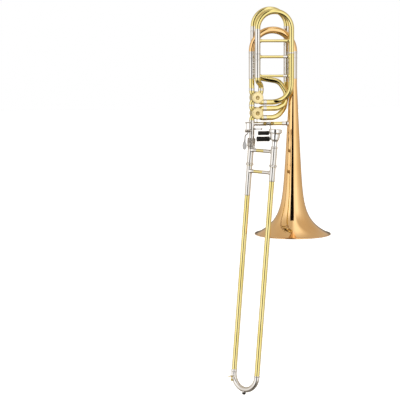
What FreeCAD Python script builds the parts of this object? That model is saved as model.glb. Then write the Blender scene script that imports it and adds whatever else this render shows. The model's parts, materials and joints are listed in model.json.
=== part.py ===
"""Bass trombone with two in-line rotary valves, upright: bell mouth and hand slide point down.

Millimetres. The origin is the centre of the bell's mouth, +Z runs up the bell's axis, the bell section
lies in the XZ plane with the neckpipe at -X, and the mouthpiece stands forward at -Y. The hand slide leans
away from the bell, so its parts are made in a frame of their own: x from the left tube to the right tube,
z down the slide.
"""

import FreeCAD, Part

import math
import os

V = FreeCAD.Vector
X_AXIS = V(1, 0, 0)
Y_AXIS = V(0, 1, 0)
Z_AXIS = V(0, 0, 1)

# ---------------------------------------------------------------- driving dimensions: bell section
MOUTH_R = 120.65                # 9 1/2 inch bell
BELL_WALL = 0.8
RIM_R = 1.6                     # wire rolled into the bell's edge
STEM_R0 = 36.7                  # the stem's radius carried down to the mouth, and how fast it narrows
STEM_TAPER = 0.0525
FLARE_R = MOUTH_R - STEM_R0     # the flare dies away over this height
FLARE_HEIGHT = 38.5
STEM_TOP = 470.0
TAIL_R = STEM_R0 - STEM_TAPER * STEM_TOP
TAIL_TOP = 490.0

NECK_X = -131.5                 # axis of the valve leg, the bell's axis being x = 0
TUBE_R = 8.2                    # valve tubing outside and bore
BORE_R = 7.2
FIT = 0.05                      # radial clearance of everything that slides or turns
MAIN_TUBE_TOP = 571.2
MAIN_LEFT_R = 9.3
MAIN_RIGHT_R = 12.1
MAIN_BOW_Z = 575.2
LEG_WALL = 0.7

# ---------------------------------------------------------------- driving dimensions: valves
VALVE_X = NECK_X + 14.5
SECOND_Z = 432.0                # upper valve
F_Z = 383.5                     # lower valve
PORT_OFFSET = 14.5              # from the rotor's axis to each port's axis
KNUCKLE_R = 12.0                # bend radius of the short bends on the casing
CASING_R = 19.0
ROTOR_R = 16.0
ROTOR_BORE_R = 6.1
ROTOR_HALF = 14.0
CASING_FRONT = -17.0
CASING_BACK = 18.0
CAP_FRONT = -24.0
CAP_R = 18.1
PLATE_BACK = 20.5
SPINDLE_R = 3.0
STOP_PIN_R = 8.23               # throw of the stop arm's pin
LINK_Y = 27.4
KNUCKLE_REACH = PORT_OFFSET + KNUCKLE_R * math.tan(math.radians(22.5))
FERRULE_R = TUBE_R + 0.8
LEG_FERRULE = 8.0
PORT_FERRULE = 10.0

# ---------------------------------------------------------------- driving dimensions: valve loops
FRONT_Y = -27.0                 # second-valve loop, in front of the main bow
FRONT_LEFT_X = -118.2
FRONT_RIGHT_X = -11.8
FRONT_TUBE_TOP = 568.0
FRONT_BOW_Z = 643.7
BACK_Y = 27.0                   # F loop, behind the main bow
BACK_LEFT_X = -121.7
BACK_RIGHT_X = -16.2
BACK_TUBE_TOP = 640.0
BACK_BOW_Z = 653.4
LOOP_TUBE_R = 8.9
LOOP_LEG_R = 8.15

# ---------------------------------------------------------------- driving dimensions: levers
BRACE_Z = 350.5
BRACE_R = 5.9
HINGE_R = 2.0
SPRING_R = 5.0                  # coil and wire of the two big lever springs
SPRING_WIRE = 1.1
F_ARM = 28.0                    # from the hinge back to the link's pivot
F_TILT = math.radians(12.0)
ROLLER_Y = -16.0
LEVER_X = -146.0
LEVER_Y = -14.0
LEVER_Z = 329.5
SPOON_X = -157.0
SPOON_Z = 283.0
SPOON_HALF_LENGTH = 12.35
SPOON_HALF_WIDTH = 6.5
BRIDGE_Z = 355.0
SECOND_ARM = LINK_Y - LEVER_Y
SECOND_TILT = math.asin(F_ARM * math.sin(F_TILT) / SECOND_ARM)

# ---------------------------------------------------------------- driving dimensions: hand slide
SLIDE_DIR = V(-0.0850, -0.0470, -1.0)
NECK_BEND = V(NECK_X, 0.0, 314.0)
SLIDE_TOP = NECK_BEND + V(SLIDE_DIR).normalize() * 6.0
SLIDE_TURN = math.radians(51.3)     # the right tube stands this far forward of the bell section
SLIDE_W = 94.9                      # between the tubes' axes
SLIDE_TUBE_R = 8.15
SLIDE_TUBE_BORE = 7.67
STOCKING_R = SLIDE_TUBE_BORE - FIT
INNER_R = 7.5
INNER_BORE = 7.15
BARREL_R = 9.4
BARREL_BORE = 8.75
CROOK_START = 742.0
CROOK_R = SLIDE_W / 2.0
CROOK_TUBE_R = 8.4
KEY_X = 4.6                         # the water key and its nipple, on the left of the crook's bend
INNER_BRACE_S = 39.5
OUTER_BRACE_S = 105.3
GRIP_R = 5.2                        # the braces between the tubes, which the hand holds
SLEEVE_R = 8.8
SLEEVE_START = 88.0
LEFT_SLEEVE_END = 182.5
RIGHT_SLEEVE_END = 132.0


# ---------------------------------------------------------------- makers
def slide_placement():
    down = V(SLIDE_DIR).normalize()
    across = V(math.cos(SLIDE_TURN), -math.sin(SLIDE_TURN), 0)
    across = (across - down * across.dot(down)).normalize()
    forward = down.cross(across)
    m = FreeCAD.Matrix(across.x, forward.x, down.x, SLIDE_TOP.x,
                       across.y, forward.y, down.y, SLIDE_TOP.y,
                       across.z, forward.z, down.z, SLIDE_TOP.z,
                       0, 0, 0, 1)
    return FreeCAD.Placement(m)


SLIDE = slide_placement()


def on_slide(shape):
    """Carries a shape from the slide's own frame to the instrument's frame."""
    return shape.transformed(SLIDE.toMatrix(), copy=True)


def axis_cylinder(base, direction, start, end, radius):
    direction = V(direction).normalize()
    return Part.makeCylinder(radius, end - start, base + direction * start, direction)


def ring(base, direction, start, end, outer, inner):
    return axis_cylinder(base, direction, start, end, outer).cut(
        axis_cylinder(base, direction, start - 1, end + 1, inner))


def rod(a, b, radius):
    return Part.makeCylinder(radius, (b - a).Length, a, b - a)


def turned(base, direction, outline):
    """A solid of revolution: outline is (distance along the axis, radius) points round its section."""
    direction = V(direction).normalize()
    side = direction.cross(Y_AXIS if abs(direction.y) < 0.9 else X_AXIS).normalize()
    points = [base + direction * s + side * r for s, r in outline]
    face = Part.Face(Part.makePolygon(points + points[:1]))
    return face.revolve(base, direction, 360)


def route(points):
    """A wire through (point, bend radius) corners: straight runs joined by arcs. End radii are unused."""
    edges = []
    last = points[0][0]
    for k in range(1, len(points) - 1):
        corner, radius = points[k]
        into = (corner - points[k - 1][0]).normalize()
        out = (points[k + 1][0] - corner).normalize()
        half = into.getAngle(out) / 2
        reach = radius * math.tan(half)
        a = corner - into * reach
        b = corner + out * reach
        bisector = (out - into).normalize()
        centre = corner + bisector * (radius / math.cos(half))
        middle = centre - bisector * radius
        if (a - last).Length > 1e-6:
            edges.append(Part.LineSegment(last, a).toShape())
        edges.append(Part.Arc(a, middle, b).toShape())
        last = b
    if (points[-1][0] - last).Length > 1e-6:
        edges.append(Part.LineSegment(last, points[-1][0]).toShape())
    return Part.Wire(edges)


def half_circle(left, right, up):
    """The wire of a U bow from left to right, bulging towards up."""
    centre = (left + right) * 0.5
    return Part.Wire(Part.Arc(left, centre + up * ((right - left).Length / 2), right).toShape())


def circle_at(point, direction, radius):
    return Part.Wire(Part.Circle(point, direction, radius).toShape())


def start_of(wire):
    edge = wire.OrderedEdges[0]
    point = wire.OrderedVertexes[0].Point
    near = edge.valueAt(edge.FirstParameter)
    tangent = edge.tangentAt(edge.FirstParameter)
    if (near - point).Length > 1e-4:
        point = edge.valueAt(edge.LastParameter)
        tangent = edge.tangentAt(edge.LastParameter) * -1
    return point, tangent


def solid_pipe(wire, radius):
    point, tangent = start_of(wire)
    return wire.makePipeShell([circle_at(point, tangent, radius)], True, False)


def tube(wire, outer, inner):
    return solid_pipe(wire, outer).cut(solid_pipe(wire, inner))


def tapered_bow(left, right, up, r_left, r_right, wall):
    """A half-circle bow whose tube grows evenly from one end to the other."""
    centre = (left + right) * 0.5
    reach = (right - left).Length / 2
    out = (left - centre).normalize()
    steps = 12

    def body(shrink):
        sections = []
        for k in range(steps + 1):
            angle = math.pi * k / steps
            direction = out * math.cos(angle) + up * math.sin(angle)
            along = up * math.cos(angle) - out * math.sin(angle)
            radius = r_left + (r_right - r_left) * k / steps - shrink
            sections.append(circle_at(centre + direction * reach, along, radius))
        return Part.makeLoft(sections, True)

    return body(0.0).cut(body(wall))


def coil(base, direction, start, end, radius, wire_radius, turns):
    """A closed coil spring round an axis, from start to end along it."""
    height = end - start - 2 * wire_radius
    helix = Part.makeHelix(height / turns, height, radius)
    profile = circle_at(V(radius, 0, 0), V(0, 1, height / turns / (2 * math.pi * radius)), wire_radius)
    spring = Part.Wire(helix.Edges).makePipeShell([profile], True, True)
    place = FreeCAD.Placement(base + V(direction).normalize() * (start + wire_radius),
                              FreeCAD.Rotation(Z_AXIS, direction))
    return spring.transformed(place.toMatrix(), copy=True)


def fused(shapes):
    whole = shapes[0].multiFuse(shapes[1:])
    return whole.removeSplitter()


def write(name, shapes):
    """One STEP file per node; shapes is a list of separate solids."""
    solids = []
    for shape in shapes:
        solids += shape.Solids
    compound = solids[0] if len(solids) == 1 else Part.makeCompound(solids)
    compound.exportStep("parts/%s.step" % name)


# ---------------------------------------------------------------- bell and main tuning slide
def bell_radius(z):
    return STEM_R0 - STEM_TAPER * z + FLARE_R * math.exp(-z / FLARE_HEIGHT)


def bell():
    heights = [0, 8, 18, 32, 50, 75, 110, 160, 240, 350, STEM_TOP]
    outer = [V(bell_radius(z) - RIM_R * (z == 0), 0, z) for z in heights]
    inner = [p - V(BELL_WALL, 0, 0) for p in outer]
    outer_curve = Part.BSplineCurve()
    outer_curve.interpolate(outer)
    inner_curve = Part.BSplineCurve()
    inner_curve.interpolate(inner)
    tail_out = V(outer[-1].x, 0, TAIL_TOP)
    tail_in = V(inner[-1].x, 0, TAIL_TOP)
    edges = [outer_curve.toShape(), Part.makeLine(outer[-1], tail_out), Part.makeLine(tail_out, tail_in),
             Part.makeLine(tail_in, inner[-1]), inner_curve.toShape(), Part.makeLine(inner[0], outer[0])]
    wall = Part.Face(Part.Wire(Part.sortEdges(edges)[0])).revolve(V(0, 0, 0), Z_AXIS, 360)
    rim = Part.makeTorus(MOUTH_R - RIM_R, RIM_R, V(0, 0, RIM_R * 0.6), Z_AXIS)
    return wall.fuse(rim)


def banded_tube(x, y, low, high, outer, inner, bands):
    """A straight upright tube with raised rings; bands are (height, width) pairs."""
    body = axis_cylinder(V(x, y, 0), Z_AXIS, low, high, outer)
    for z, width in bands:
        body = body.fuse(axis_cylinder(V(x, y, 0), Z_AXIS, z - width / 2, z + width / 2, outer + 0.5))
    return body.cut(axis_cylinder(V(x, y, 0), Z_AXIS, low - 1, high + 1, inner))


def main_slide():
    left_bore = MAIN_LEFT_R - LEG_WALL
    right_bore = MAIN_RIGHT_R - LEG_WALL
    bands = [(555.0, 3.0), (MAIN_TUBE_TOP - 1.5, 3.0)]
    write("main_outer_tubes", [
        banded_tube(NECK_X, 0, TAIL_TOP, MAIN_TUBE_TOP, MAIN_LEFT_R, left_bore, bands),
        banded_tube(0, 0, TAIL_TOP, MAIN_TUBE_TOP, MAIN_RIGHT_R, right_bore, bands)])
    legs = []
    for x, outer, bore in ((NECK_X, MAIN_LEFT_R, left_bore), (0, MAIN_RIGHT_R, right_bore)):
        base = V(x, 0, 0)
        leg_r = bore - FIT
        leg = axis_cylinder(base, Z_AXIS, 500, MAIN_TUBE_TOP, leg_r)
        collar = axis_cylinder(base, Z_AXIS, MAIN_TUBE_TOP + 0.3, MAIN_BOW_Z, outer + 0.4)
        leg = leg.fuse(axis_cylinder(base, Z_AXIS, MAIN_TUBE_TOP - 1, MAIN_TUBE_TOP + 1, leg_r)).fuse(collar)
        legs.append(leg.cut(axis_cylinder(base, Z_AXIS, 499, MAIN_BOW_Z + 1, leg_r - LEG_WALL)))
    write("main_slide_legs", legs)
    write("main_bow", [tapered_bow(V(NECK_X, 0, MAIN_BOW_Z), V(0, 0, MAIN_BOW_Z), Z_AXIS,
                                   MAIN_LEFT_R, MAIN_RIGHT_R, LEG_WALL)])


# ---------------------------------------------------------------- valves
def knuckle_wire(valve_z, right, upper, sideways, past):
    """The bend from a port's mouth in to the rotor; past carries it further towards the rotor's axis."""
    sx = 1 if right else -1
    sz = 1 if upper else -1
    centre = V(VALVE_X, 0, valve_z)
    if sideways:
        mouth = centre + V(sx * (KNUCKLE_REACH + 2), 0, sz * PORT_OFFSET)
    else:
        mouth = centre + V(sx * PORT_OFFSET, 0, sz * (KNUCKLE_REACH + 2))
    corner = centre + V(sx * PORT_OFFSET, 0, sz * PORT_OFFSET)
    inner_end = centre + V(sx, 0, sz) * past
    return route([(mouth, 0), (corner, KNUCKLE_R), (inner_end, 0)])


def casing(valve_z, ports):
    body = axis_cylinder(V(VALVE_X, 0, valve_z), Y_AXIS, CASING_FRONT, CASING_BACK, CASING_R)
    bends = [solid_pipe(knuckle_wire(valve_z, *port, 10.3), TUBE_R) for port in ports]
    bores = [solid_pipe(knuckle_wire(valve_z, *port, 9.3), BORE_R) for port in ports]
    body = body.multiFuse(bends)
    cavity = axis_cylinder(V(VALVE_X, 0, valve_z), Y_AXIS, CASING_FRONT - 1, CASING_BACK + 1, ROTOR_R + FIT)
    return body.cut(cavity).cut(Part.makeCompound(bores))


def rotor(valve_z):
    centre = V(VALVE_X, 0, valve_z)
    body = axis_cylinder(centre, Y_AXIS, -ROTOR_HALF, ROTOR_HALF, ROTOR_R)
    body = body.fuse(axis_cylinder(centre, Y_AXIS, CASING_FRONT - 2.5, CASING_FRONT + 4, SPINDLE_R))
    body = body.fuse(axis_cylinder(centre, Y_AXIS, ROTOR_HALF - 1, LINK_Y - 4, SPINDLE_R))
    for side in (-1, 1):
        beside = centre + V(side * ROTOR_R * math.sqrt(2), 0, 0)
        body = body.cut(Part.makeTorus(ROTOR_R, ROTOR_BORE_R, beside, Y_AXIS))
    return body


def front_cap(valve_z):
    centre = V(VALVE_X, 0, valve_z)
    rounded = 1.2
    lip = CAP_R + 0.6
    cap = turned(centre, Y_AXIS, [(CAP_FRONT + 2.5, 0), (CAP_FRONT + 2.5, 6.0), (CAP_FRONT, 6.6),
                                  (CAP_FRONT, CAP_R - rounded), (CAP_FRONT + rounded, CAP_R),
                                  (CASING_FRONT - 1.2, CAP_R), (CASING_FRONT - 0.6, lip),
                                  (CASING_FRONT, lip), (CASING_FRONT, 0)])
    return cap.cut(axis_cylinder(centre, Y_AXIS, CASING_FRONT - 3, CASING_FRONT + 1, SPINDLE_R + FIT))


SCREW_HEAD_R = 1.7
SCREW_R = 0.9
SCREW_CIRCLE = 13.5


def screw_places(valve_z):
    for angle in (90, 210, 330):
        a = math.radians(angle + 30)
        yield V(VALVE_X + SCREW_CIRCLE * math.cos(a), 0, valve_z + SCREW_CIRCLE * math.sin(a))


def back_plate(valve_z):
    centre = V(VALVE_X, 0, valve_z)
    plate = axis_cylinder(centre, Y_AXIS, CASING_BACK, PLATE_BACK, CAP_R)
    plate = plate.fuse(axis_cylinder(centre, Y_AXIS, CASING_BACK - 3.5, CASING_BACK + 1, ROTOR_R - 0.2))
    plate = plate.cut(axis_cylinder(centre, Y_AXIS, CASING_BACK - 5, PLATE_BACK + 1, SPINDLE_R + FIT))
    for place in screw_places(valve_z):
        plate = plate.cut(axis_cylinder(place, Y_AXIS, CASING_BACK, PLATE_BACK + 1, SCREW_R))
    return plate


def plate_screw(place):
    shank = axis_cylinder(place, Y_AXIS, CASING_BACK, PLATE_BACK, SCREW_R)
    head = axis_cylinder(place, Y_AXIS, PLATE_BACK, PLATE_BACK + 1.4, SCREW_HEAD_R)
    slot = Part.makeBox(2 * SCREW_HEAD_R, 1, 0.5, place + V(-SCREW_HEAD_R, PLATE_BACK + 0.9, -0.25))
    return shank.fuse(head).cut(slot)


def stop_arm(valve_z, side):
    """The arm on the rotor's back end: its pin rests low, to the right (side = 1) or to the left (-1)."""
    centre = V(VALVE_X, 0, valve_z)
    throw = STOP_PIN_R / math.sqrt(2)
    pin = centre + V(side * throw, 0, -throw)
    disc = axis_cylinder(centre, Y_AXIS, LINK_Y - 6.4, LINK_Y - 2.2, 4.5)
    arm_box = Part.makeBox(STOP_PIN_R, 2.0, 5.0, V(0, LINK_Y - 4.2, -2.5))
    arm_box.rotate(V(0, 0, 0), Y_AXIS, 45 if side > 0 else 135)
    arm_box.translate(centre)
    body = disc.fuse(arm_box).fuse(axis_cylinder(pin, Y_AXIS, LINK_Y - 4.2, LINK_Y - 2.2, 2.5))
    body = body.fuse(axis_cylinder(pin, Y_AXIS, LINK_Y - 3, LINK_Y + 3.2, 1.2))
    return body.cut(axis_cylinder(centre, Y_AXIS, LINK_Y - 8, LINK_Y - 4, SPINDLE_R))


def stop_corks(valve_z):
    corks = []
    for side in (-1, 1):
        place = V(VALVE_X, 0, valve_z + side * 7.2)
        corks.append(axis_cylinder(place, Y_AXIS, PLATE_BACK, LINK_Y - 1.5, 2.0))
    return corks


def valves():
    left_ports = [(False, True, False), (False, False, False)]
    ports = {SECOND_Z: left_ports + [(True, True, False), (True, False, True)],
             F_Z: left_ports + [(True, True, True), (True, False, True)]}
    for z, name, side in ((SECOND_Z, "second", -1), (F_Z, "f", 1)):
        write(name + "_casing", [casing(z, ports[z])])
        write(name + "_rotor", [rotor(z)])
        write(name + "_stop_arm", [stop_arm(z, side)])
    both = (SECOND_Z, F_Z)
    write("valve_front_caps", [front_cap(z) for z in both])
    write("valve_back_plates", [back_plate(z) for z in both])
    write("plate_screws", [plate_screw(place) for z in both for place in screw_places(z)])
    write("stop_corks", stop_corks(SECOND_Z) + stop_corks(F_Z))

    mouth = KNUCKLE_REACH + 2
    neck = V(NECK_X, 0, 0)
    upper_port = V(VALVE_X + PORT_OFFSET, 0, 0)
    connector = ring(neck, Z_AXIS, F_Z + mouth, SECOND_Z - mouth, TUBE_R, BORE_R)
    middle = (F_Z + SECOND_Z) / 2
    connector = connector.fuse(ring(neck, Z_AXIS, middle - 2.2, middle + 2.2, TUBE_R + 0.9, TUBE_R - 0.2))
    port_x = VALVE_X + mouth
    port_z = SECOND_Z + mouth
    leg_low = port_z + LEG_FERRULE
    ferrules = [connector,
                ring(neck, Z_AXIS, port_z, leg_low, FERRULE_R, BORE_R),
                ring(neck, Z_AXIS, F_Z - mouth - 4, F_Z - mouth, FERRULE_R, BORE_R),
                ring(upper_port, Z_AXIS, port_z, port_z + 7, FERRULE_R, BORE_R)]
    for z in (SECOND_Z - PORT_OFFSET, F_Z + PORT_OFFSET, F_Z - PORT_OFFSET):
        ferrules.append(ring(V(0, 0, z), X_AXIS, port_x, port_x + PORT_FERRULE, FERRULE_R, BORE_R))
    write("valve_ferrules", ferrules)
    write("valve_leg_tube", [ring(neck, Z_AXIS, leg_low, TAIL_TOP, TUBE_R, BORE_R)])
    return port_x + PORT_FERRULE


# ---------------------------------------------------------------- valve loops
def loops(ferrule_end):
    front_left = V(FRONT_LEFT_X, FRONT_Y, 0)
    front_right = V(FRONT_RIGHT_X, FRONT_Y, 0)
    back_left = V(BACK_LEFT_X, BACK_Y, 0)
    back_right = V(BACK_RIGHT_X, BACK_Y, 0)
    up = Z_AXIS
    bore = LOOP_LEG_R + FIT

    port_top = V(VALVE_X + PORT_OFFSET, 0, SECOND_Z + KNUCKLE_REACH + 9)
    low = 494.0
    bend = 13.0
    s_bend = route([(front_left + up * low, 0), (front_left + up * (low - 10), bend),
                    (port_top + up * 9.5, bend), (port_top, 0)])
    write("second_port_tube", [tube(s_bend, TUBE_R, BORE_R)])
    second_bands = [(FRONT_TUBE_TOP - 1.5, 3.0), (549.0, 2.5)]
    write("second_left_outer_tube", [
        banded_tube(FRONT_LEFT_X, FRONT_Y, low, FRONT_TUBE_TOP, LOOP_TUBE_R, bore, second_bands)])
    return_z = SECOND_Z - PORT_OFFSET
    sweep = route([(front_right + up * 487, 0), (front_right + up * 447, 50), (V(-46, 0, return_z), 50),
                   (V(ferrule_end, 0, return_z), 0)])
    write("second_return_tube", [
        tube(sweep, TUBE_R, BORE_R),
        banded_tube(FRONT_RIGHT_X, FRONT_Y, 487, FRONT_TUBE_TOP, LOOP_TUBE_R, bore, second_bands[:1])])

    upper_z = F_Z + PORT_OFFSET
    lower_z = F_Z - PORT_OFFSET
    s_tube = route([(back_left + up * 515, 0), (back_left + up * 496, 22), (V(-42, 13, 482), 32),
                    (V(-20, 9, 447), 30), (V(-25, 3, 411), 26), (V(-52, 0, upper_z), 26),
                    (V(ferrule_end, 0, upper_z), 0)])
    big_curve = route([(back_right + up * 480, 0), (back_right + up * 438, 50), (V(-24, 19, 398), 45),
                       (V(-52, 0, lower_z), 45), (V(ferrule_end, 0, lower_z), 0)])
    write("f_loop_tubes", [tube(s_tube, TUBE_R, BORE_R), tube(big_curve, TUBE_R, BORE_R)])
    back_bands = [(BACK_TUBE_TOP - 1.5, 3.0), (596.0, 2.5)]
    write("f_outer_tubes", [
        banded_tube(BACK_LEFT_X, BACK_Y, 515, BACK_TUBE_TOP, LOOP_TUBE_R, bore, back_bands),
        banded_tube(BACK_RIGHT_X, BACK_Y, 480, BACK_TUBE_TOP, LOOP_TUBE_R, bore, back_bands)])


def loop_bows():
    """The two loops' own slides: each bow with its pair of legs."""
    for name, left_x, right_x, y, tube_top, bow_z, leg_low in (
            ("second", FRONT_LEFT_X, FRONT_RIGHT_X, FRONT_Y, FRONT_TUBE_TOP, FRONT_BOW_Z, 502.0),
            ("f", BACK_LEFT_X, BACK_RIGHT_X, BACK_Y, BACK_TUBE_TOP, BACK_BOW_Z, 520.0)):
        legs = []
        for x in (left_x, right_x):
            base = V(x, y, 0)
            leg = axis_cylinder(base, Z_AXIS, leg_low, tube_top + 2, LOOP_LEG_R)
            sleeve_top = bow_z
            if name == "second" and x == right_x:
                sleeve_top = tube_top + 4
            leg = leg.fuse(axis_cylinder(base, Z_AXIS, tube_top + 0.3, sleeve_top, LOOP_TUBE_R - 0.2))
            legs.append(leg.cut(axis_cylinder(base, Z_AXIS, leg_low - 1, sleeve_top + 1, BORE_R)))
        write(name + "_slide_legs", legs)
        bow = half_circle(V(left_x, y, bow_z), V(right_x, y, bow_z), Z_AXIS)
        if name == "second":
            straight = Part.makeLine(V(right_x, y, bow_z), V(right_x, y, tube_top + 4))
            bow = Part.Wire(bow.Edges + [straight])
        write(name + "_bow", [tube(bow, TUBE_R, BORE_R)])


def saddle_rod(a, r_a, b, r_b, radius):
    """A rod between two upright tubes at a and b: each end spreads into a saddle that fits its tube."""
    length = (b - a).Length
    spread = radius + 1.9
    start = r_a - 1.2
    end = length - r_b + 1.2
    body = turned(a, b - a, [(start, 0), (start, spread), (start + 2.4, spread), (start + 4.4, radius),
                             (end - 4.4, radius), (end - 2.4, spread), (end, spread), (end, 0)])
    for point, tube_r in ((a, r_a), (b, r_b)):
        body = body.cut(axis_cylinder(point, Z_AXIS, -20, 20, tube_r))
    return max(body.Solids, key=lambda solid: solid.Volume)


def braces():
    front_left = (V(FRONT_LEFT_X, FRONT_Y, 0), LOOP_TUBE_R)
    front_right = (V(FRONT_RIGHT_X, FRONT_Y, 0), LOOP_TUBE_R)
    back_left = (V(BACK_LEFT_X, BACK_Y, 0), LOOP_TUBE_R)
    back_right = (V(BACK_RIGHT_X, BACK_Y, 0), LOOP_TUBE_R)
    main_left = (V(NECK_X, 0, 0), MAIN_LEFT_R)
    main_right = (V(0, 0, 0), MAIN_RIGHT_R)

    def between(a, b, z, radius):
        height = V(0, 0, z)
        return saddle_rod(a[0] + height, a[1], b[0] + height, b[1], radius)

    crossbars = [between(front_left, front_right, z, radius) for z, radius in ((558.0, 4.3), (499.0, 4.0))]
    write("loop_crossbars", crossbars)
    struts = [between(main_left, front_left, z, 2.4) for z in (541.0, 522.0, 505.0)]
    for z in (541.0, 523.0):
        struts.append(between(main_left, back_left, z, 2.4))
        struts.append(between(main_right, back_right, z, 2.4))
        struts.append(between(main_right, front_right, z, 2.4))
    write("loop_struts", struts)
    pull_left = (front_left[0], LOOP_TUBE_R - 0.2)
    pull_right = (front_right[0], TUBE_R)
    write("second_pull_brace", [between(pull_left, pull_right, 607.0, 4.4)])


# ---------------------------------------------------------------- bell brace, levers and links
def bell_brace():
    axis = V(0, 0, BRACE_Z)
    left_end = axis_cylinder(axis, X_AXIS, NECK_X + 6, -98, BRACE_R - 0.6)
    left_end = left_end.fuse(axis_cylinder(axis, X_AXIS, -101, -96, BRACE_R))
    foot = Part.makeCone(BRACE_R + 0.4, BRACE_R - 0.6, 11, V(NECK_X + 5, 0, BRACE_Z), X_AXIS)
    left_end = left_end.fuse(foot)
    left_end = left_end.cut(axis_cylinder(V(NECK_X, 0, 0), Z_AXIS, 330, 370, TUBE_R))
    left_end = left_end.cut(axis_cylinder(axis, X_AXIS, -102, -95, HINGE_R))
    right_end = axis_cylinder(axis, X_AXIS, -36, -14, BRACE_R + 0.3)
    right_end = right_end.fuse(Part.makeCone(BRACE_R + 0.3, 9.5, 9, V(-24, 0, BRACE_Z), X_AXIS))
    stem = Part.makeCone(bell_radius(325), bell_radius(375), 50, V(0, 0, 325), Z_AXIS)
    right_end = right_end.cut(stem)
    write("bell_brace_ends", [left_end, right_end])
    sleeve = axis_cylinder(axis, X_AXIS, -62.5, -36, BRACE_R).cut(
        axis_cylinder(axis, X_AXIS, -63, -56, HINGE_R))
    write("bell_brace_sleeve", [sleeve])
    write("lever_hinge_rod", [axis_cylinder(axis, X_AXIS, -102, -56, HINGE_R)])
    springs = []
    for low, high in ((-95.6, -84.7), (-73.1, -62.8)):
        springs.append(coil(axis, X_AXIS, low, high, SPRING_R, SPRING_WIRE, 3.5))
    pin = V(0, LEVER_Y, LEVER_Z)
    for low, high in ((-150.2, -148.2), (-143.9, -142.1)):
        springs.append(coil(pin, X_AXIS, low, high, 2.7, 0.45, 2))
    write("lever_springs", springs)
    stop = rod(V(-122, -9, 334.3), V(-103, -9, 334.3), 1.4).fuse(Part.makeSphere(2.6, V(-102, -9, 334.3)))
    foot = axis_cylinder(V(0, -6, 334.3), X_AXIS, -127.5, -121.5, 3.0)
    stop = stop.fuse(foot).cut(axis_cylinder(V(NECK_X, 0, 0), Z_AXIS, 310, 360, TUBE_R))
    write("lever_stop_rod", [stop.Solids[0]])


def link_end(hinge_y, hinge_z, arm, tilt):
    """Where a lever's back arm ends at rest: it hangs below the level of its hinge by the tilt."""
    return hinge_y + arm * math.cos(tilt), hinge_z - arm * math.sin(tilt)


def bar(points, width, thick):
    """A flat bar through points in a YZ plane: points are (x, y, z), thick runs along X."""
    pieces = []
    for a, b in zip(points, points[1:]):
        way = (b - a).normalize()
        side = X_AXIS.cross(way).normalize() * (width / 2)
        out = X_AXIS * (thick / 2)
        face = Part.Face(Part.makePolygon([a + side + out, a - side + out, a - side - out, a + side - out,
                                           a + side + out]))
        pieces.append(face.extrude(b - a))
    for p in points:
        pieces.append(axis_cylinder(p, X_AXIS, -thick / 2, thick / 2, width / 2))
    return fused(pieces)


# low x, high x, height, radius, waist depth
ROLLERS = {"upper_roller": (-114.3, -80.2, 321.8, 6.5, 0.4),
           "lower_roller": (-118.9, -77.9, 303.5, 7.8, 0.4)}
ROLLER_ARM_X = -74.6
AXLE_R = 2.0


def f_lever():
    axis = V(0, 0, BRACE_Z)
    hub = axis_cylinder(axis, X_AXIS, -84.4, -74.4, BRACE_R)
    end_y, end_z = link_end(0, BRACE_Z, F_ARM, F_TILT)
    link_x = VALVE_X + 7.03
    elbow_x = -105.6
    back = bar([V(-82.5, 4.2, BRACE_Z), V(-82.5, end_y, end_z)], 5.0, 3.0)
    cross = rod(V(-84, end_y, end_z), V(elbow_x, end_y, end_z), 2.0)
    pin = rod(V(elbow_x + 1, end_y, end_z), V(link_x - 2.2, end_y, end_z), 1.2)
    front = bar([V(ROLLER_ARM_X, -1, BRACE_Z - 1), V(ROLLER_ARM_X, ROLLER_Y, 328),
                 V(ROLLER_ARM_X, ROLLER_Y, ROLLERS["lower_roller"][2])], 6.0, 2.4)
    pieces = [hub, back, cross, pin, front]
    for low_x, high_x, z, radius, waist in ROLLERS.values():
        pieces.append(axis_cylinder(V(0, ROLLER_Y, z), X_AXIS, low_x - 0.4, ROLLER_ARM_X, AXLE_R))
        pieces.append(axis_cylinder(V(0, ROLLER_Y, z), X_AXIS, low_x - 0.8, low_x - 0.1, AXLE_R + 1.2))
    lever = fused(pieces).cut(axis_cylinder(axis, X_AXIS, -90, -70, HINGE_R + FIT))
    write("f_lever", [lever])
    write("f_link_rod", [link_rod(link_x, end_y, end_z, F_Z)])


def rollers():
    for name, (low_x, high_x, z, radius, waist) in ROLLERS.items():
        centre = V(0, ROLLER_Y, z)
        middle = (low_x + high_x) / 2
        half = (high_x - low_x) / 2 - 0.3
        low = middle - half
        high = middle + half
        shape = turned(centre, X_AXIS, [(low, AXLE_R + FIT), (low, radius - 1), (low + 1, radius),
                                        (low + 4, radius - 0.2), (middle, radius - waist),
                                        (high - 4, radius - 0.2), (high - 1, radius), (high, radius - 1),
                                        (high, AXLE_R + FIT)])
        write(name, [shape])


def link_rod(x, y, low_z, valve_z):
    """A thin rod from a lever's pin up to the slotted eye round the stop arm's pin."""
    pin_z = valve_z - STOP_PIN_R / math.sqrt(2)
    slot = 1.55
    top = V(x, LINK_Y, pin_z)
    eye = Part.makeBox(2 * (slot + 1.6) + 1.6, 2.4, 6.6, top + V(-slot - 2.4, -1.2, -3.3))
    lower = axis_cylinder(V(0, y, low_z), X_AXIS, x - 1.3, x + 1.3, 3.0)
    lean = V(x, y, low_z)
    body = fused([eye, lower, rod(lean, top + V(0, 0, -2), 1.25)])
    window = Part.makeBox(2 * slot, 5, 3.2, top + V(-slot, -2.5, -1.6))
    ends = [axis_cylinder(top + V(side * slot, 0, 0), Y_AXIS, -2.5, 2.5, 1.6) for side in (-1, 1)]
    body = body.cut(window.multiFuse(ends))
    return body.cut(axis_cylinder(V(0, y, low_z), X_AXIS, x - 3, x + 3, 1.2 + FIT))


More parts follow.
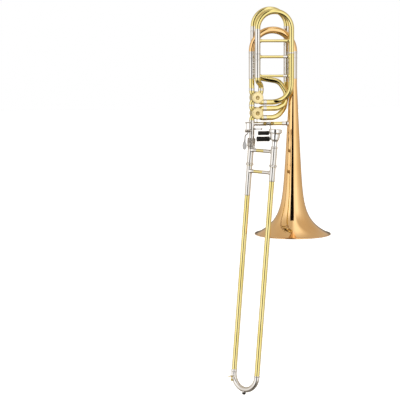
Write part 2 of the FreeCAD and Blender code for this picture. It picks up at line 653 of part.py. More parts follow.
def second_lever():
    axis = V(0, LEVER_Y, LEVER_Z)
    end_y, end_z = link_end(LEVER_Y, LEVER_Z, SECOND_ARM, SECOND_TILT)
    link_x = VALVE_X - 7.03
    hub = axis_cylinder(axis, X_AXIS, LEVER_X - 1.9, LEVER_X + 1.9, 4.2)
    back = bar([V(LEVER_X, LEVER_Y + 2, LEVER_Z), V(LEVER_X, end_y, end_z)], 4.6, 2.6)
    cross = rod(V(LEVER_X + 1, end_y, end_z), V(link_x - 4.2, end_y, end_z), 1.8)
    pin = rod(V(link_x - 5, end_y, end_z), V(link_x + 2.2, end_y, end_z), 1.2)
    spoon_top = V(SPOON_X + 0.5, LEVER_Y - 1, 293)
    arm_route = route([(V(LEVER_X, LEVER_Y, LEVER_Z - 3), 0), (V(LEVER_X, LEVER_Y, 320.8), 3.2),
                       (V(SPOON_X + 2, LEVER_Y - 0.5, 315.5), 3.2), (spoon_top, 0)])
    arm = solid_pipe(arm_route, 1.8)
    centre = V(SPOON_X, LEVER_Y - 1.9, SPOON_Z)
    outline = Part.Ellipse(centre + Z_AXIS * SPOON_HALF_LENGTH, centre + X_AXIS * SPOON_HALF_WIDTH, centre)
    spoon = Part.Face(Part.Wire(outline.toShape())).extrude(Y_AXIS * 1.8)
    lever = fused([hub, back, cross, pin, arm, spoon])
    write("second_lever", [lever.cut(axis_cylinder(axis, X_AXIS, -160, -130, 1.5 + FIT))])
    write("second_link_rod", [link_rod(link_x, end_y, end_z, SECOND_Z)])


def second_lever_bracket():
    axis = V(0, LEVER_Y, LEVER_Z)
    pieces = [axis_cylinder(axis, X_AXIS, -156, -136, 1.5)]
    for x in (-151.8, -140.6):
        pieces.append(axis_cylinder(axis, X_AXIS, x - 1.4, x + 1.4, 4.0))
        pieces.append(rod(V(x, LEVER_Y, LEVER_Z + 3), V(x, LEVER_Y, BRIDGE_Z), 1.3))
    pieces.append(axis_cylinder(axis, X_AXIS, -156, -153.2, 3.4))
    pieces.append(axis_cylinder(axis, X_AXIS, -139.2, -136, 3.4))
    pieces.append(rod(V(-154.5, LEVER_Y, BRIDGE_Z), V(-135.5, LEVER_Y, BRIDGE_Z), 2.2))
    pieces.append(Part.makeSphere(2.6, V(-135.5, LEVER_Y, BRIDGE_Z)))
    pieces.append(rod(V(-135.5, LEVER_Y, BRIDGE_Z), V(-133.0, -6, BRIDGE_Z), 2.0))
    pieces.append(rod(V(-140.6, LEVER_Y, LEVER_Z - 2), V(-140.6, LEVER_Y, 316), 0.9))
    bracket = pieces[0].multiFuse(pieces[1:]).cut(axis_cylinder(V(NECK_X, 0, 0), Z_AXIS, 320, 380, TUBE_R))
    write("second_lever_bracket", [bracket.Solids[0]])


# ---------------------------------------------------------------- neckpipe and hand slide, inner half
def neckpipe():
    down = V(SLIDE_DIR).normalize()
    top = V(NECK_X, 0, F_Z - KNUCKLE_REACH - 6)
    wire = route([(top, 0), (NECK_BEND, 40), (SLIDE_TOP + down * 33, 0)])
    write("neckpipe", [tube(wire, TUBE_R, BORE_R)])


LEFT = V(0, 0, 0)
RIGHT = V(SLIDE_W, 0, 0)


def slide_turned(base, outline):
    return on_slide(turned(base, Z_AXIS, outline))


def slide_ring(base, start, end, outer, inner):
    return on_slide(ring(base, Z_AXIS, start, end, outer, inner))


def slide_brace(s, tube_r):
    """A grip between the slide's two tubes: its feet spread against them."""
    grip = axis_cylinder(V(0, 0, s), X_AXIS, tube_r - 2, SLIDE_W - tube_r + 2, GRIP_R)
    for x, way in ((tube_r - 1.5, 1), (SLIDE_W - tube_r + 1.5, -1)):
        grip = grip.fuse(Part.makeCone(GRIP_R + 2.4, GRIP_R, 6.5, V(x, 0, s), X_AXIS * way))
    for base in (LEFT, RIGHT):
        grip = grip.cut(axis_cylinder(base, Z_AXIS, s - 40, s + 40, tube_r))
    return grip


def inner_slide():
    thread_r = 11.5
    nut = [(2, 8.8), (2, 11.2), (4, 12.4), (19, 12.4), (21, 11.9), (21, thread_r + FIT),
           (13.5, thread_r + FIT), (13.5, 8.8)]
    write("lock_nut", [slide_turned(LEFT, nut)])
    socket = [(14, TUBE_R + FIT), (14, thread_r), (23, thread_r), (23, 12.4), (27, 12.4), (29, 10.6),
              (36, BARREL_R), (36, BARREL_BORE), (46, BARREL_BORE), (46, INNER_R), (34, INNER_R),
              (34, TUBE_R + FIT)]
    write("slide_receiver", [slide_turned(LEFT, socket)])
    left_barrel = [(36, BARREL_BORE), (36, BARREL_R), (79, BARREL_R), (83, 12.2), (86, 12.2), (87, 11),
                   (87, BARREL_BORE)]
    right_barrel = [(40, BARREL_BORE), (40, BARREL_R), (79, BARREL_R), (79, 9.9), (80.2, 9.9),
                    (80.2, BARREL_R), (87.5, BARREL_R), (87.5, BARREL_BORE)]
    write("cork_barrels", [slide_turned(LEFT, left_barrel), slide_turned(RIGHT, right_barrel)])
    ring_r = BARREL_R + FIT
    lock_outline = [(80.5, ring_r), (80.5, 10.8), (83.5, 12.4), (86.5, 12.4), (87.5, 11.2), (87.5, ring_r)]
    lock = turned(RIGHT, Z_AXIS, lock_outline)
    lock = lock.fuse(axis_cylinder(V(SLIDE_W + 11.0, 0, 84), X_AXIS, 0, 4.0, 1.8))
    lock = lock.cut(axis_cylinder(RIGHT, Z_AXIS, 70, 95, ring_r))
    write("slide_lock_ring", [on_slide(lock)])
    cup_socket = [(24, 7.65), (24, 9.4), (25.2, 10.3), (28.8, 10.3), (30, 9.6), (40, BARREL_R),
                  (40, BARREL_BORE), (46, BARREL_BORE), (46, INNER_R), (44, INNER_R), (44, 6.95)]
    write("mouthpiece_receiver", [slide_turned(RIGHT, cup_socket)])
    corks = [slide_ring(base, 58, 69, BARREL_BORE - FIT, INNER_R + FIT) for base in (LEFT, RIGHT)]
    write("barrel_corks", corks)
    tubes = []
    for base, start in ((LEFT, 34.0), (RIGHT, 44.0)):
        tubes.append(slide_turned(base, [(start, INNER_BORE), (start, INNER_R), (600, INNER_R),
                                         (606, STOCKING_R), (724, STOCKING_R), (726, INNER_R),
                                         (726, INNER_BORE)]))
    write("inner_slide_tubes", tubes)
    write("leadpipe", [slide_turned(RIGHT, [(58, 6.4), (58, INNER_BORE - FIT), (260, INNER_BORE - FIT),
                                            (260, 6.9), (90, 5.9)])])
    foot = solid_pipe(route([(V(11.5, 0, 24), 0), (V(14, 0, 35), 10), (V(34, 0, 39.5), 0)]), 2.6)
    brace = slide_brace(INNER_BRACE_S, BARREL_R).fuse(foot)
    left_room = [(10, 0), (10, 12.6), (27.2, 12.6), (29, 10.65), (36, BARREL_R), (36, 0)]
    right_room = [(25, 0), (25, 10.35), (28.8, 10.35), (30, 9.65), (40, BARREL_R), (40, 0)]
    for base, room in ((LEFT, left_room), (RIGHT, right_room)):
        brace = brace.cut(turned(base, Z_AXIS, room))
    write("inner_slide_brace", [on_slide(brace)])


def mouthpiece():
    rim = [(-19, 19.4), (-22, 19.9), (-27.5, 19.9), (-29.6, 18.9), (-30.5, 17.2), (-30.1, 15.2),
           (-28, 13.9)]
    cup_and_backbore = [(-18, 12.9), (-8, 10.4), (-1, 6.2), (4, 3.7), (10, 3.6), (53, 5.4)]
    outside = [(53, 6.5), (24.5, 7.45), (24, 7.45), (23.5, 8.2), (9, 8.4), (6, 9.6), (2, 12.4), (-6, 14.2),
               (-14, 14.8), (-17.5, 16.0)]
    write("mouthpiece", [slide_turned(RIGHT, rim + cup_and_backbore + outside)])


# ---------------------------------------------------------------- hand slide, outer half
def crook_wire():
    left = V(0, 0, CROOK_START)
    right = V(SLIDE_W, 0, CROOK_START)
    return half_circle(left, right, Z_AXIS)


def outer_slide():
    end = CROOK_START - 2
    tubes = [slide_ring(base, 70, end, SLIDE_TUBE_R, SLIDE_TUBE_BORE) for base in (LEFT, RIGHT)]
    write("outer_slide_tubes", tubes)
    sleeves = []
    for base, last in ((LEFT, LEFT_SLEEVE_END), (RIGHT, RIGHT_SLEEVE_END)):
        first = SLEEVE_START
        outline = [(first, SLIDE_TUBE_R), (first, 9.3), (first + 2.5, 9.3), (first + 2.5, SLEEVE_R),
                   (last - 4, SLEEVE_R), (last - 4, 9.2), (last - 1.5, 9.2), (last, 8.6),
                   (last, SLIDE_TUBE_R)]
        sleeves.append(slide_turned(base, outline))
    write("outer_slide_sleeves", sleeves)
    write("outer_slide_brace", [on_slide(slide_brace(OUTER_BRACE_S, SLEEVE_R))])
    wire = crook_wire()
    solid_crook = solid_pipe(wire, CROOK_TUBE_R)
    nipple_s = CROOK_START + 24
    nipple = axis_cylinder(V(KEY_X, 0, nipple_s), Y_AXIS, 5, 11.0, 3.2)
    crook = solid_crook.fuse(nipple).cut(solid_pipe(wire, SLIDE_TUBE_BORE))
    crook = crook.cut(axis_cylinder(V(KEY_X, 0, nipple_s), Y_AXIS, 4, 12, 2.0))
    write("slide_crook", [on_slide(crook)])
    ferrules = []
    for base, start in ((LEFT, 733.0), (RIGHT, 738.0)):
        seat = CROOK_START - 0.5
        outline = [(start, SLIDE_TUBE_R), (start, 8.6), (start + 1.5, 9.2), (CROOK_START - 2, 9.2),
                   (seat, 8.8), (seat, CROOK_TUBE_R - 0.5), (end, CROOK_TUBE_R - 0.5), (end, SLIDE_TUBE_R)]
        ferrules.append(turned(base, Z_AXIS, outline))
    socket_axis = V(SLIDE_W / 2, 0, CROOK_START + CROOK_R + CROOK_TUBE_R)
    socket = turned(socket_axis, Z_AXIS, [(-4, 0), (-4, 7.4), (-0.5, 6.4), (0.5, 6.2), (0.5, 0)])
    socket = socket.cut(solid_crook)
    fittings = ferrules + [socket.Solids[-1], water_key_saddle(nipple_s)]
    write("crook_fittings", [on_slide(piece) for piece in fittings])
    write("bumper", [slide_turned(socket_axis, [(0.5, 0), (0.5, 5.4), (5, 5.6), (7.5, 4.6), (7.5, 0)])])
    water_key(nipple_s)


def water_key_pivot(nipple_s):
    return V(KEY_X, 14.2, nipple_s - 11)


def water_key_saddle(nipple_s):
    pivot = water_key_pivot(nipple_s)
    posts = []
    low_x = KEY_X - 5.6
    for x in (low_x, low_x + 9.2):
        posts.append(Part.makeBox(2.0, 8.5, 4.4, V(x, 7.4, pivot.z - 2.2)))
    saddle = fused(posts + [axis_cylinder(pivot, X_AXIS, -6.6, 6.6, 1.0),
                            Part.makeBox(11.2, 2.6, 4.4, V(low_x, 6.6, pivot.z - 2.2))])
    saddle = saddle.cut(solid_pipe(crook_wire(), CROOK_TUBE_R))
    return max(saddle.Solids, key=lambda solid: solid.Volume)


def water_key(nipple_s):
    """A sprung key that hinges along x on a saddle on the crook: the finger plate stands straight out."""
    pivot = water_key_pivot(nipple_s)
    hub = axis_cylinder(pivot, X_AXIS, -1.1, 1.1, 2.6)
    pad_bend = V(KEY_X, 17.0, pivot.z + 5)
    pad_arm = solid_pipe(route([(pivot, 0), (pad_bend, 3), (V(KEY_X, 14.6, nipple_s + 1), 0)]), 1.3)
    cup = axis_cylinder(V(KEY_X, 0, nipple_s), Y_AXIS, 12.6, 14.8, 4.0)
    touch_bend = V(KEY_X, 20.0, pivot.z - 3)
    touch = solid_pipe(route([(pivot, 0), (touch_bend, 4), (V(KEY_X, 29, pivot.z - 1.5), 0)]), 1.4)
    plate = axis_cylinder(V(KEY_X, 30.0, pivot.z - 1.5), V(0, -0.15, 0.99), -0.8, 0.8, 4.2)
    key = fused([hub, pad_arm, cup, touch, plate])
    write("water_key", [on_slide(key.cut(axis_cylinder(pivot, X_AXIS, -5, 5, 1.0 + FIT)))])
    write("water_key_cork", [on_slide(axis_cylinder(V(KEY_X, 0, nipple_s), Y_AXIS, 11.3, 12.6, 3.4))])
    springs = [coil(pivot, X_AXIS, -3.4, -1.5, 2.0, 0.4, 1.5), coil(pivot, X_AXIS, 1.5, 3.4, 2.0, 0.4, 1.5)]
    write("water_key_spring", [on_slide(s) for s in springs])


def main():
    os.makedirs("parts", exist_ok=True)
    write("bell", [bell()])
    main_slide()
    ferrule_end = valves()
    loops(ferrule_end)
    loop_bows()
    braces()
    bell_brace()
    f_lever()
    rollers()
    second_lever()
    second_lever_bracket()
    neckpipe()
    inner_slide()
    mouthpiece()
    outer_slide()


main()
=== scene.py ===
"""Looks for the bass trombone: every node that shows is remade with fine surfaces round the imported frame.

The makers work in millimetres in the CAD's frame, or in the hand slide's own frame: x from the left tube to
the right tube, z down the slide. make() turns their points into metres.
"""
import json
import math

import bmesh
import bpy
from mathutils import Matrix, Vector


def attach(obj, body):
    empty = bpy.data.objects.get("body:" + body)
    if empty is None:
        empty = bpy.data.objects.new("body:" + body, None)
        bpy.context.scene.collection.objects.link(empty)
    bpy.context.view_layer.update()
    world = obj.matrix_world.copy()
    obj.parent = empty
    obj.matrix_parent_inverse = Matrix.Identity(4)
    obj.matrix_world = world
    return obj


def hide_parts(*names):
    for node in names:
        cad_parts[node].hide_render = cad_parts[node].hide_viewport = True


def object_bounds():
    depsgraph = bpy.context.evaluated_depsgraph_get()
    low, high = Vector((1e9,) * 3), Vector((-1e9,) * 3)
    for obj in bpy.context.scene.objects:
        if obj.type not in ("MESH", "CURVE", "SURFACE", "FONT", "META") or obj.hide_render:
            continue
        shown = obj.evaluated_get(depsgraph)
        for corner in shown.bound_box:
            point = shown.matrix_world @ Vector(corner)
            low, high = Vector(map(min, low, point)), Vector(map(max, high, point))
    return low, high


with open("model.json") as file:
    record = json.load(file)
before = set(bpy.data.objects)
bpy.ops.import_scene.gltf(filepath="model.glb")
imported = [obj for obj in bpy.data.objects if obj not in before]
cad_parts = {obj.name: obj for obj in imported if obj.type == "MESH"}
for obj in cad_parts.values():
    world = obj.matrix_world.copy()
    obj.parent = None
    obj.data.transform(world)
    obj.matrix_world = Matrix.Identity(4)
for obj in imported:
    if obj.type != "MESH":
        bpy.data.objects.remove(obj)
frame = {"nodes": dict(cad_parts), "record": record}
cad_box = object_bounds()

X_AXIS = Vector((1, 0, 0))
Y_AXIS = Vector((0, 1, 0))
Z_AXIS = Vector((0, 0, 1))

# ---------------------------------------------------------------- dimensions shared with the CAD, in mm
MOUTH_R = 120.65
BELL_WALL = 0.8
RIM_R = 1.6
STEM_R0 = 36.7
STEM_TAPER = 0.0525
FLARE_R = MOUTH_R - STEM_R0
FLARE_HEIGHT = 38.5
STEM_TOP = 470.0
TAIL_TOP = 490.0

NECK_X = -131.5
NECK_BEND_Z = 314.0
TUBE_R = 8.2
BORE_R = 7.2
FIT = 0.05
MAIN_TUBE_TOP = 571.2
MAIN_LEFT_R = 9.3
MAIN_RIGHT_R = 12.1
MAIN_BOW_Z = 575.2
LEG_WALL = 0.7

VALVE_X = NECK_X + 14.5
SECOND_Z = 432.0
F_Z = 383.5
PORT_OFFSET = 14.5
KNUCKLE_R = 12.0
CASING_R = 19.0
ROTOR_R = 16.0
TRIM_R = 17.4
CASING_FRONT = -17.0
CASING_BACK = 18.0
CAP_FRONT = -24.0
CAP_R = 18.1
PLATE_BACK = 20.5
STOP_PIN_R = 8.23
LINK_Y = 27.4
LINK_OFFSET = 7.03
KNUCKLE_REACH = PORT_OFFSET + KNUCKLE_R * math.tan(math.radians(22.5))
MOUTH = KNUCKLE_REACH + 2
FERRULE_END = VALVE_X + MOUTH + 10
LEG_LOW = SECOND_Z + MOUTH + 8

FRONT_Y = -27.0
FRONT_LEFT_X = -118.2
FRONT_RIGHT_X = -11.8
FRONT_TUBE_TOP = 568.0
FRONT_BOW_Z = 643.7
BACK_Y = 27.0
BACK_LEFT_X = -121.7
BACK_RIGHT_X = -16.2
BACK_TUBE_TOP = 640.0
BACK_BOW_Z = 653.4
LOOP_TUBE_R = 8.9
LOOP_LEG_R = 8.15

BRACE_Z = 350.5
BRACE_R = 5.9
FOOT_FLANGE = 1.9
HINGE_R = 2.0
F_ARM = 28.0
F_TILT = math.radians(12.0)
ROLLER_Y = -16.0
ROLLER_ARM_X = -74.6
LEVER_X = -146.0
LEVER_Y = -14.0
LEVER_Z = 329.5
SPOON_X = -157.0
SPOON_HALF = 6.5
BRIDGE_Z = 355.0
SECOND_ARM = LINK_Y - LEVER_Y
SECOND_TILT = math.asin(F_ARM * math.sin(F_TILT) / SECOND_ARM)
SPRING_R = 5.0

SLIDE_W = 94.9
SLIDE_TUBE_R = 8.15
SLIDE_TUBE_BORE = 7.67
INNER_R = 7.5
INNER_BORE = 7.15
BARREL_R = 9.4
BARREL_BORE = 8.75
GRIP_R = 5.2
CROOK_START = 742.0
CROOK_R = SLIDE_W / 2
CROOK_TUBE_R = 8.4
LEFT = Vector((0, 0, 0))
RIGHT = Vector((SLIDE_W, 0, 0))
KEY_X = 4.6
NIPPLE_S = CROOK_START + 24

down = Vector((-0.0850, -0.0470, -1.0)).normalized()
slide_top = Vector((NECK_X, 0, NECK_BEND_Z)) + down * 6
across = Vector((math.cos(math.radians(51.3)), -math.sin(math.radians(51.3)), 0))
across = (across - down * across.dot(down)).normalized()
forward = down.cross(across)
SLIDE = Matrix.Translation(slide_top) @ Matrix((across, forward, down)).transposed().to_4x4()

record = frame["record"]
BODY_OF = {node: body for body, nodes in record["behaviour"]["bodies"].items() for node in nodes}
SLOT_OF = {part["node"]: part["material_slot"] for part in record["subparts"]}


# ---------------------------------------------------------------- materials
def plug(tree, socket, value):
    """Links a value that is a socket, and sets any other."""
    if isinstance(value, bpy.types.NodeSocket):
        tree.links.new(value, socket)
    else:
        socket.default_value = value


def add(tree, kind, **sockets):
    """A shader node, with its inputs filled by socket name."""
    node = tree.nodes.new("ShaderNode" + kind)
    for name, value in sockets.items():
        plug(tree, node.inputs[name.replace("_", " ")], value)
    return node


def stretched_noise(tree, stretch, scale, detail):
    place = add(tree, "TexCoord").outputs["Object"]
    if stretch:
        place = add(tree, "Mapping", Vector=place, Scale=stretch).outputs[0]
    return add(tree, "TexNoise", Vector=place, Scale=scale, Detail=detail).outputs[0]


def ramp(tree, value, low, high, to_low=0.0, to_high=1.0):
    node = add(tree, "MapRange", Value=value, From_Min=low, From_Max=high, To_Min=to_low, To_Max=to_high)
    node.interpolation_type = "SMOOTHSTEP"
    return node.outputs[0]


def blended(tree, share, a, b):
    """A mix of two colours."""
    node = tree.nodes.new("ShaderNodeMix")
    node.data_type = "RGBA"
    plug(tree, node.inputs[0], share)
    plug(tree, node.inputs[6], (*a, 1) if isinstance(a, tuple) else a)
    plug(tree, node.inputs[7], (*b, 1) if isinstance(b, tuple) else b)
    return node.outputs[2]


def new_material(name):
    material = bpy.data.materials.new(name)
    material.use_nodes = True
    return material, material.node_tree, material.node_tree.nodes["Principled BSDF"]


def metal(name, colour, deep, hollow_shade_tint, rough, lacquer=0.0, drawn=0.012):
    """Polished metal: cloudy tone, painted shade in its hollows in a tarnish-brown tint, bright worn edges,
    smears and fine drawn lines.
    """
    material, tree, shader = new_material(name)
    cloud = ramp(tree, stretched_noise(tree, None, 11.0, 4.0), 0.35, 0.70)
    tone = blended(tree, cloud, colour, deep)
    point = tree.nodes.new("ShaderNodeNewGeometry").outputs["Pointiness"]
    # painted shade: hollows (low pointiness) are darkened towards a tarnish-brown tint
    painted_hollow_shade = ramp(tree, point, 0.497, 0.44, 0.0, 0.75)
    tone = blended(tree, painted_hollow_shade, tone, hollow_shade_tint)
    edge = ramp(tree, point, 0.53, 0.62, 0.0, 0.5)
    tone = blended(tree, edge, tone, tuple(min(1.0, c * 1.12) for c in colour))
    tree.links.new(tone, shader.inputs["Base Color"])
    smear = stretched_noise(tree, (1.0, 1.0, 0.35), 70.0, 5.0)
    tree.links.new(ramp(tree, smear, 0.3, 0.75, rough * 0.75, rough * 1.5), shader.inputs["Roughness"])
    lines = stretched_noise(tree, (60.0, 60.0, 2.0), 40.0, 2.0)
    bump = add(tree, "Bump", Height=lines, Strength=drawn, Distance=0.0002)
    tree.links.new(bump.outputs[0], shader.inputs["Normal"])
    shader.inputs["Metallic"].default_value = 1.0
    shader.inputs["Coat Weight"].default_value = lacquer
    shader.inputs["Coat Roughness"].default_value = 0.04
    return material


def moulded(name, colour, worn, rough, grain, depth):
    """Black plastic or rubber: a fine moulded grain, and paler handled patches."""
    material, tree, shader = new_material(name)
    patch = ramp(tree, stretched_noise(tree, None, 60.0, 3.0), 0.45, 0.8)
    tree.links.new(blended(tree, patch, colour, worn), shader.inputs["Base Color"])
    tree.links.new(ramp(tree, patch, 0.0, 1.0, rough, rough * 0.7), shader.inputs["Roughness"])
    shader.inputs["Specular IOR Level"].default_value = 0.28
    fine = stretched_noise(tree, None, grain, 3.0)
    bump = add(tree, "Bump", Height=fine, Strength=depth, Distance=0.0004)
    tree.links.new(bump.outputs[0], shader.inputs["Normal"])
    return material


def natural_cork(name):
    material, tree, shader = new_material(name)
    speck = ramp(tree, stretched_noise(tree, None, 900.0, 6.0), 0.38, 0.62)
    tone = blended(tree, speck, (0.22, 0.11, 0.05), (0.58, 0.37, 0.20))
    tree.links.new(tone, shader.inputs["Base Color"])
    shader.inputs["Roughness"].default_value = 0.85
    bump = add(tree, "Bump", Height=speck, Strength=0.6, Distance=0.0004)
    tree.links.new(bump.outputs[0], shader.inputs["Normal"])
    return material


# colour, deep colour, tint of the painted shade in hollows, roughness, lacquer, drawn lines
METALS = {
    "gold_brass": ((0.90, 0.595, 0.285), (0.86, 0.53, 0.225), (0.34, 0.15, 0.05), 0.06, 0.15),
    "yellow_brass": ((0.84, 0.72, 0.33), (0.78, 0.65, 0.245), (0.24, 0.17, 0.04), 0.045, 0.15),
    "nickel_silver": ((0.80, 0.775, 0.745), (0.73, 0.705, 0.67), (0.26, 0.23, 0.19), 0.07),
    "rotor_brass": ((0.72, 0.58, 0.32), (0.62, 0.47, 0.24), (0.25, 0.16, 0.07), 0.24, 0.0, 0.2),
    "silver_plate": ((0.88, 0.88, 0.875), (0.82, 0.815, 0.80), (0.40, 0.37, 0.33), 0.05),
    "lever_steel": ((0.42, 0.415, 0.405), (0.35, 0.34, 0.33), (0.12, 0.11, 0.10), 0.16),
    "spring_brass": ((0.62, 0.46, 0.15), (0.50, 0.34, 0.09), (0.16, 0.09, 0.02), 0.18),
    "chrome_tube": ((0.86, 0.86, 0.87), (0.81, 0.81, 0.83), (0.45, 0.45, 0.47), 0.05),
    "worn_nickel": ((0.56, 0.52, 0.48), (0.48, 0.445, 0.405), (0.16, 0.14, 0.11), 0.16),
    "satin_brass": ((0.84, 0.70, 0.39), (0.79, 0.645, 0.335), (0.25, 0.16, 0.05), 0.22, 0.0, 0.1),
}
FINISHES = {name: metal(name, *look) for name, look in METALS.items()}
FINISHES["black_roller"] = moulded("black_roller", (0.004, 0.004, 0.004),
    (0.010, 0.010, 0.011), 0.42, 1400.0, 0.10)
FINISHES["black_rubber"] = moulded("black_rubber", (0.005, 0.005, 0.005),
    (0.014, 0.014, 0.013), 0.70, 2200.0, 0.35)
FINISHES["cork"] = natural_cork("cork")


# ---------------------------------------------------------------- makers
def at(x, y, z):
    return Vector((x, y, z))


class Skin:
    """Points and faces gathered for one piece."""

    def __init__(self):
        self.points = []
        self.faces = []

    def loft(self, rings, closed=False):
        """Quads between neighbouring rings. A ring of one repeated point is a pole; open ends are capped."""
        index = []
        for points in rings:
            first = len(self.points)
            if (points[0] - points[len(points) // 2]).length < 1e-6:
                self.points.append(points[0])
                index.append([first] * len(points))
            else:
                self.points += points
                index.append(list(range(first, first + len(points))))
        pairs = list(zip(index, index[1:]))
        if closed:
            pairs.append((index[-1], index[0]))
        for a, b in pairs:
            for k in range(len(a)):
                after = (k + 1) % len(a)
                face = list(dict.fromkeys((a[k], a[after], b[after], b[k])))
                if len(face) > 2:
                    self.faces.append(face)
        if not closed:
            for end in (index[0], index[-1]):
                if end[0] != end[1]:
                    self.faces.append(list(end))


def sides(axis):
    """The axis made unit length, and two directions square to it."""
    axis = Vector(axis).normalized()
    helper = Y_AXIS if abs(axis.y) < 0.9 else X_AXIS
    u = axis.cross(helper).normalized()
    return axis, u, axis.cross(u)


def rounded(outline, fillet, closed):
    """The outline with each corner turned into a short curve; a third number is that corner's own radius."""
    gaps = [(Vector(p[:2]) - Vector(outline[k - 1][:2])).length for k, p in enumerate(outline)]
    outline = [p for k, p in enumerate(outline) if not k or gaps[k] > 1e-4]
    count = len(outline)
    result = []
    for k, corner in enumerate(outline):
        here = Vector(corner[:2])
        radius = corner[2] if len(corner) > 2 else fillet
        if not closed and k in (0, count - 1):
            result.append(here)
            continue
        back = Vector(outline[k - 1][:2]) - here
        ahead = Vector(outline[(k + 1) % count][:2]) - here
        inside = back.angle(ahead)
        if radius <= 0 or inside > math.radians(172):
            result.append(here)
            continue
        reach = min(radius / math.tan(inside / 2), 0.45 * back.length, 0.45 * ahead.length)
        for step in range(4):
            q = step / 3
            result.append(here + back.normalized() * reach * (1 - q) ** 2
                + ahead.normalized() * reach * q * q)
    return result


def lathe(skin, base, axis, outline, around=56, fillet=0.25, shift=None, ripple=None):
    """A turned shape: outline is (distance along the axis, radius) points, closed or ending on the axis."""
    axis, u, v = sides(axis)
    closed = min(point[1] for point in outline) > 1e-6
    rings = []
    for s, r in rounded(outline, fillet, closed):
        points = []
        for k in range(around):
            angle = math.tau * k / around
            out = u * math.cos(angle) + v * math.sin(angle)
            swell = ripple(s, angle) if ripple and r > 1e-6 else 0.0
            moved = shift(s, out * r) if shift else 0.0
            points.append(base + axis * (s + moved) + out * (r + swell))
        rings.append(points)
    skin.loft(rings, closed)


def pipe(skin, base, axis, start, end, outer, inner):
    lathe(skin, base, axis, [(start, inner), (start, outer), (end, outer), (end, inner)], fillet=0.2)


def banded(base, low, high, outer, inner, bands):
    """A tube with raised, grooved rings: bands are (middle, width) pairs along it."""
    outline = [(low, inner), (low, outer)]
    for middle, width in sorted(bands):
        a = middle - width / 2
        b = middle + width / 2
        outline += [(a, outer), (a, outer + 0.5), (middle - 0.35, outer + 0.5), (middle, outer + 0.2),
                    (middle + 0.35, outer + 0.5), (b, outer + 0.5)]
        if b < high - 0.01:
            outline.append((b, outer))
    if outline[-1][0] < high - 0.01:
        outline.append((high, outer))
    return base, Z_AXIS, outline + [(high, inner)]


def follow(corners, turn=5.0):
    """(point, direction) stations along runs joined by arcs; corners are (point, bend radius) pairs."""
    stations = [(corners[0][0], (corners[1][0] - corners[0][0]).normalized())]
    for (before, _), (corner, radius), (after, _) in zip(corners, corners[1:], corners[2:]):
        into = (corner - before).normalized()
        out = (after - corner).normalized()
        angle = into.angle(out)
        start = corner - into * radius * math.tan(angle / 2)
        normal = into.cross(out).normalized()
        centre = start + normal.cross(into) * radius
        steps = max(2, math.ceil(math.degrees(angle) / turn))
        for k in range(steps + 1):
            spin = Matrix.Rotation(angle * k / steps, 3, normal)
            stations.append((centre + spin @ (start - centre), spin @ into))
    stations.append((corners[-1][0], (corners[-1][0] - corners[-2][0]).normalized()))
    return stations


def half_circle(left, right, up, steps=44):
    centre = (left + right) / 2
    reach = (right - left).length / 2
    out = (left - centre).normalized()
    return [(centre + (out * math.cos(a) + up * math.sin(a)) * reach, up * math.cos(a) - out * math.sin(a))
            for a in (math.pi * k / steps for k in range(steps + 1))]


def swept(skin, stations, outer, inner=None, around=40):
    """A tube or rod along stations. outer and inner are radii, or functions of the share of the way along."""
    direction, u, _ = sides(stations[0][1])
    last = len(stations) - 1
    outside = []
    inside = []
    for k, (point, way) in enumerate(stations):
        spin = direction.rotation_difference(way)
        u = spin @ u
        direction = Vector(way)
        u = (u - direction * u.dot(direction)).normalized()
        v = direction.cross(u)
        for radius, rings in ((outer, outside), (inner, inside)):
            if radius is not None:
                r = radius(k / last) if callable(radius) else radius
                rings.append([point + (u * math.cos(t) + v * math.sin(t)) * r
                              for t in (math.tau * j / around for j in range(around))])
    if inner is None:
        skin.loft(outside)
    else:
        skin.loft(outside + inside[::-1], True)


def rod(skin, a, b, radius, dome=0.5):
    """A straight rod with softened ends."""
    length = (b - a).length
    lathe(skin, a, b - a, [(0, 0), (0, radius), (length, radius), (length, 0)], 24, dome)


def ball(skin, centre, radius):
    turns = [math.pi * k / 14 for k in range(1, 14)]
    outline = [(-radius, 0)] + [(-radius * math.cos(a), radius * math.sin(a)) for a in turns] + [(radius, 0)]
    lathe(skin, centre, Z_AXIS, outline, 28, 0)


def arm(skin, spine, side, power=3.0):
    """A forged arm: spine is (point, half width, half thickness) stations, side is the way its width runs."""
    around = 24
    samples = []
    count = len(spine)
    for k in range(count - 1):
        window = [spine[max(k - 1, 0)], spine[k], spine[k + 1], spine[min(k + 2, count - 1)]]
        for step in range(8):
            samples.append(blend_spine(window, step / 8))
    samples.append(spine[-1])
    rings = []
    for k, (point, width, thick) in enumerate(samples):
        way = (samples[min(k + 1, len(samples) - 1)][0] - samples[max(k - 1, 0)][0]).normalized()
        wide = (Vector(side) - way * way.dot(Vector(side))).normalized()
        deep = way.cross(wide)
        scales = [(0.0, 1.0)]
        if k == 0:
            scales = [(-math.cos(a), math.sin(a)) for a in (0.02, 0.4, 0.8, 1.2)] + scales
        if k == len(samples) - 1:
            scales += [(math.cos(a), math.sin(a)) for a in (1.2, 0.8, 0.4, 0.02)]
        for along, scale in scales:
            ring = []
            for j in range(around):
                t = math.tau * j / around
                c = math.copysign(abs(math.cos(t)) ** (2 / power), math.cos(t))
                s = math.copysign(abs(math.sin(t)) ** (2 / power), math.sin(t))
                out = wide * c * width + deep * s * thick
                ring.append(point + way * along * min(width, thick) + out * scale)
            rings.append(ring)
    skin.loft(rings)


def blend_spine(window, t):
    """A Catmull-Rom step from the second to the third of four spine stations."""
    weights = ((-t + 2 * t * t - t ** 3) / 2, (2 - 5 * t * t + 3 * t ** 3) / 2,
               (t + 4 * t * t - 3 * t ** 3) / 2, (t ** 3 - t * t) / 2)
    point = sum((w * Vector(p[0]) for w, p in zip(weights, window)), Vector())
    width = (1 - t) * window[1][1] + t * window[2][1]
    thick = (1 - t) * window[1][2] + t * window[2][2]
    return point, width, thick


